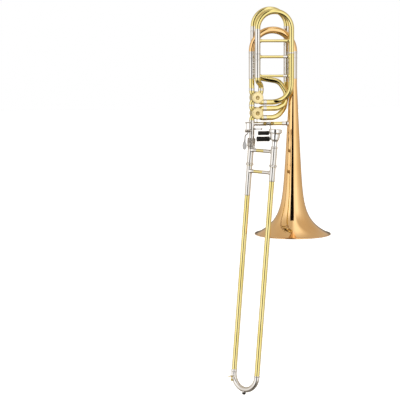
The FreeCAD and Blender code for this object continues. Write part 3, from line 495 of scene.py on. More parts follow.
def coil(skin, base, axis, start, end, radius, wire, turns):
    """A coil spring between two distances along its axis."""
    axis, u, v = sides(axis)
    steps = max(12, round(turns * 26))
    points = []
    for k in range(steps + 1):
        angle = math.tau * turns * k / steps
        s = start + wire + (end - start - 2 * wire) * k / steps
        points.append(base + axis * s + (u * math.cos(angle) + v * math.sin(angle)) * radius)
    stations = []
    for k, point in enumerate(points):
        way = points[min(k + 1, len(points) - 1)] - points[max(k - 1, 0)]
        stations.append((point, way.normalized()))
    swept(skin, stations, wire, around=12)


def saddle(radius, tube_at_start, tube_at_end, length):
    """Bends the ends of a rod to sit on round tubes that run along Z."""
    def shift(s, out):
        offset = at(out.x, out.y, 0)
        moved = 0.0
        for tube_r, gap, sign in ((tube_at_start, s - (tube_at_start or 0), -1),
                (tube_at_end, length - (tube_at_end or 0) - s, 1)):
            if tube_r and gap < radius + 3:
                weight = min(1.0, max(0.0, 1 - gap / (radius + 3)))
                drop = tube_r - math.sqrt(max(tube_r ** 2 - offset.length_squared, 0.0))
                moved += sign * drop * weight
        return moved
    return shift


def foot_face(s, foot):
    """A foot's end face in rings, so that it can follow its tube all the way in."""
    return [(s, 0)] + [(s, share * foot, 0.0) for share in (0.35, 0.6, 0.8)] + [(s, foot)]


def brace(skin, a, r_a, b, r_b, radius):
    """A rod between two tubes whose feet are shaped to the tubes."""
    length = (b - a).length
    foot = radius + FOOT_FLANGE
    start = r_a - 0.3
    end = length - r_b + 0.3
    outline = foot_face(start, foot)
    outline += [(start + 1.6, foot), (start + 2.4, radius + 0.8), (start + 5.0, radius + 0.1),
        (start + 5.4, radius), (end - 5.4, radius), (end - 5.0, radius + 0.1),
        (end - 2.4, radius + 0.8), (end - 1.6, foot)]
    outline += reversed(foot_face(end, foot))
    lathe(skin, a, b - a, outline, 48, 0.3, saddle(radius, r_a, r_b, length))


def make(node, skin, place=None, part="fine", slot=None, finish=None):
    """Turns a skin into a piece that stands for a CAD node, on the node's body and in its finish."""
    name = node + "_" + part
    mesh = bpy.data.meshes.new(name)
    mesh.from_pydata([((place @ p) if place else p) / 1000 for p in skin.points], [], skin.faces)
    tidy = bmesh.new()
    tidy.from_mesh(mesh)
    bmesh.ops.recalc_face_normals(tidy, faces=tidy.faces)
    tidy.to_mesh(mesh)
    tidy.free()
    mesh.shade_smooth()
    mesh.set_sharp_from_angle(angle=math.radians(38))
    slot = slot or SLOT_OF[node]
    mesh.materials.append(FINISHES[finish or slot])
    piece = bpy.data.objects.new(name, mesh)
    bpy.context.scene.collection.objects.link(piece)
    weighted = piece.modifiers.new("even shading", "WEIGHTED_NORMAL")
    weighted.keep_sharp = True
    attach(piece, BODY_OF[node])
    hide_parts(node)
    return piece


def turned(node, base, axis, outline, around=56, fillet=0.25, ripple=None, **how):
    """A piece that is one turned shape."""
    skin = Skin()
    lathe(skin, base, axis, outline, around, fillet, ripple=ripple)
    make(node, skin, **how)


def bent(node, stations, outer, inner, around):
    """A piece that is one bent tube."""
    skin = Skin()
    swept(skin, stations, outer, inner, around)
    make(node, skin)


# ---------------------------------------------------------------- bell and main tuning slide
def bell_radius(z):
    return STEM_R0 - STEM_TAPER * z + FLARE_R * math.exp(-z / FLARE_HEIGHT)


def bell():
    heights = [STEM_TOP * (k / 70) ** 1.7 for k in range(70, 0, -1)]
    heights = [z for z in heights if z > 3.0] + [2.7]
    outer = [(TAIL_TOP, bell_radius(STEM_TOP))] + [(z, bell_radius(z)) for z in heights]
    inner = [(z, r - BELL_WALL) for z, r in outer][::-1]
    rim = []
    for degrees in range(115, -205, -20):
        a = math.radians(degrees)
        rim.append((RIM_R * 0.6 + RIM_R * math.sin(a), MOUTH_R - RIM_R + RIM_R * math.cos(a)))
    turned("bell", at(0, 0, 0), Z_AXIS, outer + rim + inner, 176, 0)


def main_slide():
    outer_tubes = Skin()
    legs = Skin()
    for x, outer in ((NECK_X, MAIN_LEFT_R), (0, MAIN_RIGHT_R)):
        bore = outer - LEG_WALL
        base = at(x, 0, 0)
        bands = [(555.0, 3.0), (MAIN_TUBE_TOP - 1.5, 3.0), (TAIL_TOP + 1.2, 2.4)]
        lathe(outer_tubes, *banded(base, TAIL_TOP, MAIN_TUBE_TOP, outer, bore, bands), fillet=0.15)
        leg_r = bore - FIT
        collar = outer + 0.4
        lathe(legs, base, Z_AXIS, [(500, leg_r - LEG_WALL), (500, leg_r), (MAIN_TUBE_TOP + 0.3, leg_r, 0),
            (MAIN_TUBE_TOP + 0.3, collar), (MAIN_BOW_Z - 2.0, collar), (MAIN_BOW_Z - 1.7, collar - 0.25),
            (MAIN_BOW_Z - 1.4, collar), (MAIN_BOW_Z, collar), (MAIN_BOW_Z, leg_r - LEG_WALL)], fillet=0.2)
    make("main_outer_tubes", outer_tubes)
    make("main_slide_legs", legs)

    def outside(share):
        return MAIN_LEFT_R + (MAIN_RIGHT_R - MAIN_LEFT_R) * share

    stations = half_circle(at(NECK_X, 0, MAIN_BOW_Z), at(0, 0, MAIN_BOW_Z), Z_AXIS, 64)
    bent("main_bow", stations, outside, lambda share: outside(share) - LEG_WALL, 56)


# ---------------------------------------------------------------- valves
def knuckle(skin, valve_z, right, upper, sideways):
    """A short bend from a port's mouth in to the casing, trimmed inside the casing's wall."""
    sx = 1 if right else -1
    sz = 1 if upper else -1
    centre = at(VALVE_X, 0, valve_z)
    if sideways:
        mouth = centre + at(sx * MOUTH, 0, sz * PORT_OFFSET)
    else:
        mouth = centre + at(sx * PORT_OFFSET, 0, sz * MOUTH)
    corner = centre + at(sx * PORT_OFFSET, 0, sz * PORT_OFFSET)
    first = len(skin.points)
    inside = centre + at(sx, 0, sz) * 10.3
    swept(skin, follow([(mouth, 0), (corner, KNUCKLE_R), (inside, 0)]), TUBE_R, BORE_R, 48)
    for k in range(first, len(skin.points)):
        out = skin.points[k] - centre
        flat = math.hypot(out.x, out.z)
        if flat < TRIM_R:
            skin.points[k] = centre + at(out.x * TRIM_R / flat, out.y, out.z * TRIM_R / flat)


def milled(teeth, depth, low, high):
    """A milled edge between two heights: small ribs round it."""
    def ripple(s, angle):
        return depth * (math.cos(teeth * angle) - 1) / 2 if low < s < high else 0.0
    return ripple


def valves():
    # each port: whether it is right of the valve's axis, above it, and opens sideways
    left = [(False, True, False), (False, False, False)]
    ports = {"second": left + [(True, True, False), (True, False, True)],
             "f": left + [(True, True, True), (True, False, True)]}
    caps = Skin()
    plates = Skin()
    corks = Skin()
    for valve_z, name, side in ((SECOND_Z, "second", -1), (F_Z, "f", 1)):
        centre = at(VALVE_X, 0, valve_z)
        casing = Skin()
        lathe(casing, centre, Y_AXIS, [(CASING_FRONT, ROTOR_R + FIT), (CASING_FRONT, CASING_R),
            (-13.6, CASING_R), (-12.9, 18.5), (13.9, 18.5), (14.6, CASING_R), (CASING_BACK, CASING_R),
            (CASING_BACK, ROTOR_R + FIT)], 96, 0.35)
        for port in ports[name]:
            knuckle(casing, valve_z, *port)
        make(name + "_casing", casing)
        lathe(caps, centre, Y_AXIS, [(CAP_FRONT + 3.2, 0), (CAP_FRONT + 3.0, 2.0, 0),
            (CAP_FRONT + 2.5, 3.8, 0.5), (CAP_FRONT + 1.6, 5.4, 0.8), (CAP_FRONT + 0.2, 6.2, 0.3),
            (CAP_FRONT, 6.6, 0.2), (CAP_FRONT, 14.8, 0.1), (CAP_FRONT + 0.3, 15.1, 0.1),
            (CAP_FRONT, 15.4, 0.1), (CAP_FRONT, CAP_R - 1.0, 0.8), (CAP_FRONT + 1.2, CAP_R, 0.4),
            (-18.6, CAP_R, 0.1), (-18.4, CAP_R - 0.4, 0.1), (-18.0, CAP_R - 0.4, 0.1),
            (-17.8, CAP_R + 0.6, 0.2), (CASING_FRONT, CAP_R + 0.6, 0.1), (CASING_FRONT, 0)], 240, 0.2,
            ripple=milled(60, 0.35, CAP_FRONT + 1.1, -18.5))
        lathe(plates, centre, Y_AXIS, [(CASING_BACK, 3.05), (CASING_BACK, CAP_R), (PLATE_BACK, CAP_R, 0.5),
            (PLATE_BACK, 6.2), (PLATE_BACK + 0.35, 5.9), (PLATE_BACK + 0.35, 3.05)], 96, 0.2)
        for end in (-1, 1):
            lathe(corks, centre + at(0, 0, end * 7.2), Y_AXIS,
                  [(PLATE_BACK, 0), (PLATE_BACK, 2.0), (LINK_Y - 1.5, 2.0), (LINK_Y - 1.5, 0)], 32, 0.25)
        throw = STOP_PIN_R / math.sqrt(2)
        pin = centre + at(side * throw, 0, -throw)
        stop = Skin()
        lathe(stop, centre, Y_AXIS, [
            (LINK_Y - 6.4, 0), (LINK_Y - 6.4, 4.5), (LINK_Y - 2.2, 4.5), (LINK_Y - 2.2, 2.4, 0.1),
            (LINK_Y - 1.0, 2.2, 0.5), (LINK_Y - 1.0, 0)], 48, 0.3)
        middle = LINK_Y - 3.2
        arm(stop, [(centre + at(0, middle, 0), 3.2, 1.0), ((centre + pin) / 2 + at(0, middle, 0), 2.3, 1.0),
                   (pin + at(0, middle, 0), 2.3, 1.0)], at(side, 0, 1))
        lathe(stop, pin, Y_AXIS, [(LINK_Y - 4.2, 0), (LINK_Y - 4.2, 2.4), (LINK_Y - 2.2, 2.4),
            (LINK_Y - 2.2, 1.2, 0.1), (LINK_Y + 3.2, 1.2, 0.5), (LINK_Y + 3.2, 0)], 32, 0.2)
        make(name + "_stop_arm", stop)
    make("valve_front_caps", caps, finish="satin_brass")
    make("valve_back_plates", plates)
    make("stop_corks", corks)
    ferrules()


def ferrule(skin, base, axis, start, end):
    """A nickel sleeve with a bead at each end."""
    big = TUBE_R + 0.8
    waist = TUBE_R + 0.45
    bead = min(1.6, (end - start) / 3)
    lathe(skin, base, axis, [(start, BORE_R), (start, big), (start + bead, big), (start + bead, waist),
        (end - bead, waist), (end - bead, big), (end, big), (end, BORE_R)], 56, 0.25)


def ferrules():
    skin = Skin()
    neck = at(NECK_X, 0, 0)
    low = F_Z + MOUTH
    high = SECOND_Z - MOUTH
    middle = (low + high) / 2
    lathe(skin, neck, Z_AXIS, [(low, BORE_R), (low, TUBE_R), (middle - 2.2, TUBE_R),
        (middle - 2.2, TUBE_R + 0.9), (middle, TUBE_R + 0.6), (middle + 2.2, TUBE_R + 0.9),
        (middle + 2.2, TUBE_R), (high, TUBE_R), (high, BORE_R)], 56, 0.2)
    ferrule(skin, neck, Z_AXIS, SECOND_Z + MOUTH, LEG_LOW)
    ferrule(skin, neck, Z_AXIS, F_Z - MOUTH - 4, F_Z - MOUTH)
    ferrule(skin, at(VALVE_X + PORT_OFFSET, 0, 0), Z_AXIS, SECOND_Z + MOUTH, SECOND_Z + MOUTH + 7)
    for z in (SECOND_Z - PORT_OFFSET, F_Z + PORT_OFFSET, F_Z - PORT_OFFSET):
        ferrule(skin, at(0, 0, z), X_AXIS, VALVE_X + MOUTH, FERRULE_END)
    make("valve_ferrules", skin)
    leg = Skin()
    pipe(leg, neck, Z_AXIS, LEG_LOW, TAIL_TOP, TUBE_R, BORE_R)
    make("valve_leg_tube", leg)


# ---------------------------------------------------------------- valve loops
def loops():
    bore = LOOP_LEG_R + FIT
    port_top = at(VALVE_X + PORT_OFFSET, 0, SECOND_Z + KNUCKLE_REACH + 9)
    route = [(at(FRONT_LEFT_X, FRONT_Y, 494), 0), (at(FRONT_LEFT_X, FRONT_Y, 484), 13.0),
             (port_top + at(0, 0, 9.5), 13.0), (port_top, 0)]
    bent("second_port_tube", follow(route), TUBE_R, BORE_R, 48)
    rings = [(FRONT_TUBE_TOP - 1.5, 3.0), (549.0, 2.5)]
    tube = banded(at(FRONT_LEFT_X, FRONT_Y, 0), 494, FRONT_TUBE_TOP, LOOP_TUBE_R, bore, rings)
    turned("second_left_outer_tube", *tube, fillet=0.15)

    return_z = SECOND_Z - PORT_OFFSET
    skin = Skin()
    route = [(at(FRONT_RIGHT_X, FRONT_Y, 487), 0), (at(FRONT_RIGHT_X, FRONT_Y, 447), 50),
             (at(-46, 0, return_z), 50), (at(FERRULE_END, 0, return_z), 0)]
    swept(skin, follow(route, 3), TUBE_R, BORE_R, 48)
    tube = banded(at(FRONT_RIGHT_X, FRONT_Y, 0), 487, FRONT_TUBE_TOP, LOOP_TUBE_R, bore, rings[:1])
    lathe(skin, *tube, fillet=0.15)
    make("second_return_tube", skin)

    upper_z = F_Z + PORT_OFFSET
    lower_z = F_Z - PORT_OFFSET
    skin = Skin()
    upper = [(at(BACK_LEFT_X, BACK_Y, 515), 0), (at(BACK_LEFT_X, BACK_Y, 496), 22), (at(-42, 13, 482), 32),
             (at(-20, 9, 447), 30), (at(-25, 3, 411), 26), (at(-52, 0, upper_z), 26),
             (at(FERRULE_END, 0, upper_z), 0)]
    lower = [(at(BACK_RIGHT_X, BACK_Y, 480), 0), (at(BACK_RIGHT_X, BACK_Y, 438), 50), (at(-24, 19, 398), 45),
             (at(-52, 0, lower_z), 45), (at(FERRULE_END, 0, lower_z), 0)]
    swept(skin, follow(upper, 4), TUBE_R, BORE_R, 48)
    swept(skin, follow(lower, 3), TUBE_R, BORE_R, 48)
    make("f_loop_tubes", skin)
    skin = Skin()
    for x, low in ((BACK_LEFT_X, 515), (BACK_RIGHT_X, 480)):
        rings = [(BACK_TUBE_TOP - 1.5, 3.0), (596.0, 2.5)]
        tube = banded(at(x, BACK_Y, 0), low, BACK_TUBE_TOP, LOOP_TUBE_R, bore, rings)
        lathe(skin, *tube, fillet=0.15)
    make("f_outer_tubes", skin)


def loop_bows():
    for name, left_x, right_x, y, tube_top, bow_z, leg_low in (
            ("second", FRONT_LEFT_X, FRONT_RIGHT_X, FRONT_Y, FRONT_TUBE_TOP, FRONT_BOW_Z, 502.0),
            ("f", BACK_LEFT_X, BACK_RIGHT_X, BACK_Y, BACK_TUBE_TOP, BACK_BOW_Z, 520.0)):
        legs = Skin()
        for x in (left_x, right_x):
            sleeve_top = tube_top + 4 if name == "second" and x == right_x else bow_z
            sleeve = LOOP_TUBE_R - 0.2
            foot = tube_top + 0.3
            lathe(legs, at(x, y, 0), Z_AXIS, [(leg_low, BORE_R), (leg_low, LOOP_LEG_R), (foot, LOOP_LEG_R, 0),
                (foot, sleeve), (sleeve_top - 2.0, sleeve), (sleeve_top - 2.0, sleeve + 0.25),
                (sleeve_top, sleeve + 0.25), (sleeve_top, BORE_R)], 56, 0.2)
        make(name + "_slide_legs", legs)
        stations = half_circle(at(left_x, y, bow_z), at(right_x, y, bow_z), Z_AXIS, 60)
        if name == "second":
            stations.append((at(right_x, y, tube_top + 4), at(0, 0, -1)))
        bent(name + "_bow", stations, TUBE_R, BORE_R, 56)


def loop_braces():
    front_left = (at(FRONT_LEFT_X, FRONT_Y, 0), LOOP_TUBE_R)
    front_right = (at(FRONT_RIGHT_X, FRONT_Y, 0), LOOP_TUBE_R)
    back_left = (at(BACK_LEFT_X, BACK_Y, 0), LOOP_TUBE_R)
    back_right = (at(BACK_RIGHT_X, BACK_Y, 0), LOOP_TUBE_R)
    main_left = (at(NECK_X, 0, 0), MAIN_LEFT_R)
    main_right = (at(0, 0, 0), MAIN_RIGHT_R)

    def between(skin, a, b, z, radius):
        height = at(0, 0, z)
        brace(skin, a[0] + height, a[1], b[0] + height, b[1], radius)

    bars = Skin()
    tips = Skin()
    for z, radius in ((558.0, 4.3), (499.0, 4.0)):
        between(bars, front_left, front_right, z, radius)
        tip = radius + 0.35
        lathe(tips, at(0, FRONT_Y, z), X_AXIS, [(-38, radius - 0.3), (-38, tip), (-25.7, tip),
            (-25.7, radius - 0.3)], 48, 0.2)
    make("loop_crossbars", bars)
    make("loop_crossbars", tips, part="tips", slot="nickel_silver")
    struts = Skin()
    for z in (541.0, 522.0, 505.0):
        between(struts, main_left, front_left, z, 2.4)
    for z in (541.0, 523.0):
        between(struts, main_left, back_left, z, 2.4)
        between(struts, main_right, back_right, z, 2.4)
        between(struts, main_right, front_right, z, 2.4)
    make("loop_struts", struts)
    pull = Skin()
    between(pull, (front_left[0], LOOP_TUBE_R - 0.2), (front_right[0], TUBE_R), 607.0, 4.4)
    make("second_pull_brace", pull)


# ---------------------------------------------------------------- bell brace, levers and links
def link_end(hinge_y, hinge_z, reach, tilt):
    return hinge_y + reach * math.cos(tilt), hinge_z - reach * math.sin(tilt)


def bell_brace():
    ends = Skin()
    neck = at(NECK_X, 0, BRACE_Z)
    slim = BRACE_R - 0.6
    lathe(ends, neck, X_AXIS, [(7.9, 0), (7.9, 6.9), (9.6, 6.9), (11.0, 6.0), (14.5, slim), (30.5, slim),
        (30.5, BRACE_R), (32.0, BRACE_R), (32.4, BRACE_R - 0.3), (32.8, BRACE_R), (35.5, BRACE_R, 0.8),
        (35.5, 0)], 48, 0.3, saddle(3.5, TUBE_R, None, 60))
    stem = bell_radius(BRACE_Z)
    lathe(ends, at(0, 0, BRACE_Z), -X_AXIS, [(stem - 0.3, 0), (stem - 0.3, 9.2), (stem + 1.2, 9.0),
        (stem + 2.6, 6.9), (stem + 5.6, 6.2), (34.0, 6.1), (34.4, 6.3), (36.0, 6.3), (36.0, 0)], 64, 0.3,
        saddle(6.0, stem, None, 200))
    make("bell_brace_ends", ends)
    turned("bell_brace_sleeve", at(0, 0, BRACE_Z), X_AXIS, [(-62.5, 0), (-62.5, BRACE_R), (-60.5, BRACE_R),
        (-60.2, BRACE_R - 0.3), (-36, BRACE_R - 0.3), (-36, 0)], 48, 0.25)
    hinge = Skin()
    rod(hinge, at(-102, 0, BRACE_Z), at(-56, 0, BRACE_Z), HINGE_R)
    make("lever_hinge_rod", hinge)
    springs = Skin()
    axis = at(0, 0, BRACE_Z)
    coil(springs, axis, X_AXIS, -95.6, -84.7, SPRING_R, 1.1, 4)
    coil(springs, axis, X_AXIS, -73.1, -62.8, SPRING_R, 1.1, 4)
    pin = at(0, LEVER_Y, LEVER_Z)
    coil(springs, pin, X_AXIS, -150.2, -148.2, 2.7, 0.45, 2)
    coil(springs, pin, X_AXIS, -143.9, -142.1, 2.7, 0.45, 2)
    make("lever_springs", springs)
    stop = Skin()
    line = at(0, -9, 334.3)
    rod(stop, line - X_AXIS * 124, line - X_AXIS * 103, 1.4)
    ball(stop, line - X_AXIS * 102, 2.6)
    lathe(stop, line, X_AXIS, [(-126.2, 0), (-126.2, 3.0), (-121.5, 2.4, 0.6),
        (-120.2, 1.5), (-120.2, 0)], 32, 0.3)
    make("lever_stop_rod", stop)


# each roller's left end, right end, height, radius, and how much slimmer it is in the middle
ROLLERS = {"upper_roller": (-114.3, -80.2, 321.8, 6.5, 0.4), "lower_roller": (-118.9, -77.9, 303.5, 7.8, 0.4)}


def f_lever():
    end_y, end_z = link_end(0, BRACE_Z, F_ARM, F_TILT)
    link_x = VALVE_X + LINK_OFFSET
    elbow_x = -105.6
    skin = Skin()
    lathe(skin, at(0, 0, BRACE_Z), X_AXIS, [(-84.4, HINGE_R + FIT), (-84.4, BRACE_R), (-82.6, BRACE_R),
        (-82.2, BRACE_R - 0.5), (-76.6, BRACE_R - 0.5), (-76.2, BRACE_R), (-74.4, BRACE_R),
        (-74.4, HINGE_R + FIT)], 48, 0.25)
    arm(skin, [(at(-82.5, 4.4, BRACE_Z - 0.6), 2.6, 1.5), (at(-82.5, 14, BRACE_Z - 3.0), 2.2, 1.4),
               (at(-82.5, end_y, end_z), 2.3, 1.5)], Z_AXIS)
    rod(skin, at(-81.2, end_y, end_z), at(elbow_x, end_y, end_z), 2.0, dome=0.8)
    rod(skin, at(elbow_x + 1, end_y, end_z), at(link_x - 2.2, end_y, end_z), 1.2)
    arm(skin, [(at(ROLLER_ARM_X, -4.4, BRACE_Z - 3.0), 2.2, 1.2), (at(ROLLER_ARM_X, -11.5, 338), 2.6, 1.2),
               (at(ROLLER_ARM_X, ROLLER_Y, 328), 2.8, 1.2), (at(ROLLER_ARM_X, ROLLER_Y, 314), 2.6, 1.2),
               (at(ROLLER_ARM_X, ROLLER_Y, 303.5), 3.0, 1.2)], Y_AXIS)
    for low_x, _, z, _, _ in ROLLERS.values():
        lathe(skin, at(0, ROLLER_Y, z), X_AXIS, [(low_x - 0.8, 0), (low_x - 0.8, 2.6, 0.5),
            (low_x - 0.8, 3.2, 0.3), (low_x - 0.1, 3.2), (low_x - 0.1, 2.0), (ROLLER_ARM_X - 1.6, 2.0),
            (ROLLER_ARM_X - 1.2, 3.4), (ROLLER_ARM_X + 1.2, 3.4), (ROLLER_ARM_X + 1.7, 2.6, 0.4),
            (ROLLER_ARM_X + 1.7, 0)], 40, 0.15)
    make("f_lever", skin)
    for name, (low_x, high_x, z, radius, waist) in ROLLERS.items():
        roller = Skin()
        half = (high_x - low_x) / 2 - 0.3
        middle = (low_x + high_x) / 2
        outline = [(middle - half, 2.05), (middle - half, 3.6, 0.2), (middle - half + 0.5, 4.2, 0.2),
                   (middle - half, 4.8, 0.2), (middle - half, radius, 1.3)]
        for k in range(1, 12):
            t = -math.cos(math.pi * k / 12)
            outline.append((middle + half * 0.86 * t, radius - waist * (1 - t * t) ** 1.5, 0))
        outline += [(middle + half, radius, 1.3), (middle + half, 4.8, 0.2), (middle + half - 0.5, 4.2, 0.2),
                    (middle + half, 3.6, 0.2), (middle + half, 2.05)]
        lathe(roller, at(0, ROLLER_Y, z), X_AXIS, outline, 72, 0.3)
        make(name, roller)
    link_rod("f_link_rod", link_x, end_y, end_z, F_Z)


def link_rod(node, x, y, low_z, valve_z):
    """A thin rod from a lever's pin up to the slotted eye round the stop arm's pin."""
    slot = 1.55
    top = at(x, LINK_Y, valve_z - STOP_PIN_R / math.sqrt(2))
    skin = Skin()
    rings = []
    corners = 32
    for k in range(corners):
        a = math.tau * k / corners
        out = at(math.cos(a), 0, math.sin(a))
        centre = top + at(math.copysign(slot, math.cos(a)), 0, 0)
        rings.append([centre + out * (2.48 + 0.86 * math.copysign(abs(math.cos(t)) ** 0.6, math.cos(t)))
                      + Y_AXIS * 1.2 * math.copysign(abs(math.sin(t)) ** 0.6, math.sin(t))
                      for t in (math.tau * j / 16 for j in range(16))])
    skin.loft(rings, True)
    lathe(skin, at(0, y, low_z), X_AXIS, [(x - 1.3, 1.25), (x - 1.3, 3.0), (x + 1.3, 3.0),
        (x + 1.3, 1.25)], 40, 0.3)
    foot = at(x, y, low_z)
    way = (top - foot).normalized()
    rod(skin, foot + way * 2.4, top - way * 3.0, 1.25)
    lathe(skin, foot, way, [(2.6, 0), (2.6, 1.9), (5.6, 1.9), (5.6, 0)], 6, 0.1)
    make(node, skin)


def second_lever():
    end_y, end_z = link_end(LEVER_Y, LEVER_Z, SECOND_ARM, SECOND_TILT)
    link_x = VALVE_X - LINK_OFFSET
    skin = Skin()
    lathe(skin, at(0, LEVER_Y, LEVER_Z), X_AXIS, [
        (LEVER_X - 1.9, 1.55), (LEVER_X - 1.9, 4.2), (LEVER_X + 1.9, 4.2), (LEVER_X + 1.9, 1.55)], 40, 0.4)
    middle = at(LEVER_X, (LEVER_Y + end_y) / 2, (LEVER_Z + end_z) / 2)
    arm(skin, [(at(LEVER_X, LEVER_Y + 3, LEVER_Z), 2.3, 1.3), (middle, 2.0, 1.2),
               (at(LEVER_X, end_y, end_z), 2.2, 1.3)], Z_AXIS)
    rod(skin, at(LEVER_X - 1.0, end_y, end_z), at(link_x - 4.2, end_y, end_z), 1.8, dome=0.8)
    rod(skin, at(link_x - 5, end_y, end_z), at(link_x + 2.2, end_y, end_z), 1.2)
    arm(skin, [(at(LEVER_X, LEVER_Y - 0.3, LEVER_Z - 3.6), 2.2, 1.8),
        (at(-147.2, LEVER_Y - 0.3, 320.6), 1.9, 1.8), (at(-151.2, LEVER_Y - 0.4, 317.6), 1.9, 1.8),
        (at(-154.6, LEVER_Y - 0.5, 313.8), 1.9, 1.7), (at(-155.8, LEVER_Y - 0.7, 304), 1.8, 1.5),
        (at(SPOON_X, LEVER_Y - 1.2, 293), 3.6, 0.9)], X_AXIS)
    rings = []
    for k in range(1, 16):
        a = math.pi * k / 16
        half = SPOON_HALF * math.sin(a) ** 0.8
        z = 283 + 12.3 * math.cos(a)
        ring = []
        for j in range(32):
            t = math.tau * j / 32
            x = half * math.cos(t)
            dish = 0.9 * (1 - (x / SPOON_HALF) ** 2) * math.sin(a) - 0.45
            thick = 0.85 * math.sin(t) * min(1, math.sin(a) * 2.5)
            ring.append(at(SPOON_X + x, LEVER_Y - 1.0 + dish + thick, z))
        rings.append(ring)
    skin.loft(rings)
    make("second_lever", skin)
    link_rod("second_link_rod", link_x, end_y, end_z, SECOND_Z)


def second_lever_bracket():
    skin = Skin()
    axis = at(0, LEVER_Y, LEVER_Z)
    lathe(skin, axis, X_AXIS, [(-156, 0), (-156, 3.4, 0.6), (-153.2, 3.4), (-153.2, 4.0),
        (-150.4, 4.0), (-150.4, 1.5), (-142.0, 1.5), (-142.0, 4.0), (-139.2, 4.0), (-139.2, 3.4),
        (-136, 3.4, 0.6), (-136, 0)], 40, 0.3)
    for x in (-151.8, -140.6):
        arm(skin, [(at(x, LEVER_Y, LEVER_Z + 2.5), 2.0, 1.3), (at(x, LEVER_Y, LEVER_Z + 9), 1.3, 1.2),
                   (at(x, LEVER_Y, BRIDGE_Z), 1.4, 1.3)], Y_AXIS, power=2.4)
    rod(skin, at(-154.5, LEVER_Y, BRIDGE_Z), at(-135.5, LEVER_Y, BRIDGE_Z), 2.2, dome=1.2)
    ball(skin, at(-135.5, LEVER_Y, BRIDGE_Z), 2.6)
    rod(skin, at(-135.5, LEVER_Y, BRIDGE_Z), at(-133.2, -7.4, BRIDGE_Z), 2.0)
    rod(skin, at(-140.6, LEVER_Y, LEVER_Z - 2), at(-140.6, LEVER_Y, 316), 0.9)
    make("second_lever_bracket", skin, finish="worn_nickel")


# ---------------------------------------------------------------- neckpipe and hand slide, inner half
def slide_brace(node, s, tube_r, brass_from, brass_to):
    """A grip brace between the slide's tubes: nickel ends with ringed feet, and a brass middle."""
    skin = Skin()
    foot = GRIP_R + 2.6
    end = SLIDE_W - tube_r + 0.3
    start = tube_r - 0.3
    low = brass_from - 0.6
    high = brass_to + 0.6
    outline = foot_face(start, foot)
    outline += [(start + 1.6, foot), (start + 2.8, GRIP_R + 1.2), (start + 6.5, GRIP_R + 0.1)]
    outline += [(low - 3.4, GRIP_R + 0.1), (low - 3.0, GRIP_R + 0.35), (low, GRIP_R + 0.35),
        (low, GRIP_R - 0.3), (high, GRIP_R - 0.3), (high, GRIP_R + 0.35), (high + 3.0, GRIP_R + 0.35),
        (high + 3.4, GRIP_R + 0.1)]
    outline += [(end - 6.5, GRIP_R + 0.1), (end - 2.8, GRIP_R + 1.2), (end - 1.6, foot)]
    outline += reversed(foot_face(end, foot))
    lathe(skin, at(0, 0, s), X_AXIS, outline, 48, 0.3, saddle(GRIP_R, tube_r, tube_r, SLIDE_W))
    if node == "inner_slide_brace":
        neck = follow([(at(11.9, 0, 25.5), 0), (at(14, 0, 35), 10), (at(34, 0, 39.5), 0)])
        swept(skin, neck, lambda t: 2.9 - 0.7 * t)
    make(node, skin, SLIDE)
    middle = [(brass_from, GRIP_R - 0.4), (brass_from, GRIP_R + 0.05), (brass_to, GRIP_R + 0.05),
              (brass_to, GRIP_R - 0.4)]
    turned(node, at(0, 0, s), X_AXIS, middle, 48, place=SLIDE, part="middle", slot="yellow_brass")


def knurl(teeth, depth, low, high):
    """Crossed spiral cuts between two heights along a turned part."""
    def ripple(s, angle):
        if not low < s < high:
            return 0.0
        pitch = math.tau * 12.0 / teeth
        a = math.sin(teeth / 2 * angle + math.pi * s / pitch)
        b = math.sin(teeth / 2 * angle - math.pi * s / pitch)
        return -depth * max(0.0, 1 - 1.6 * abs(a * b))
    return ripple


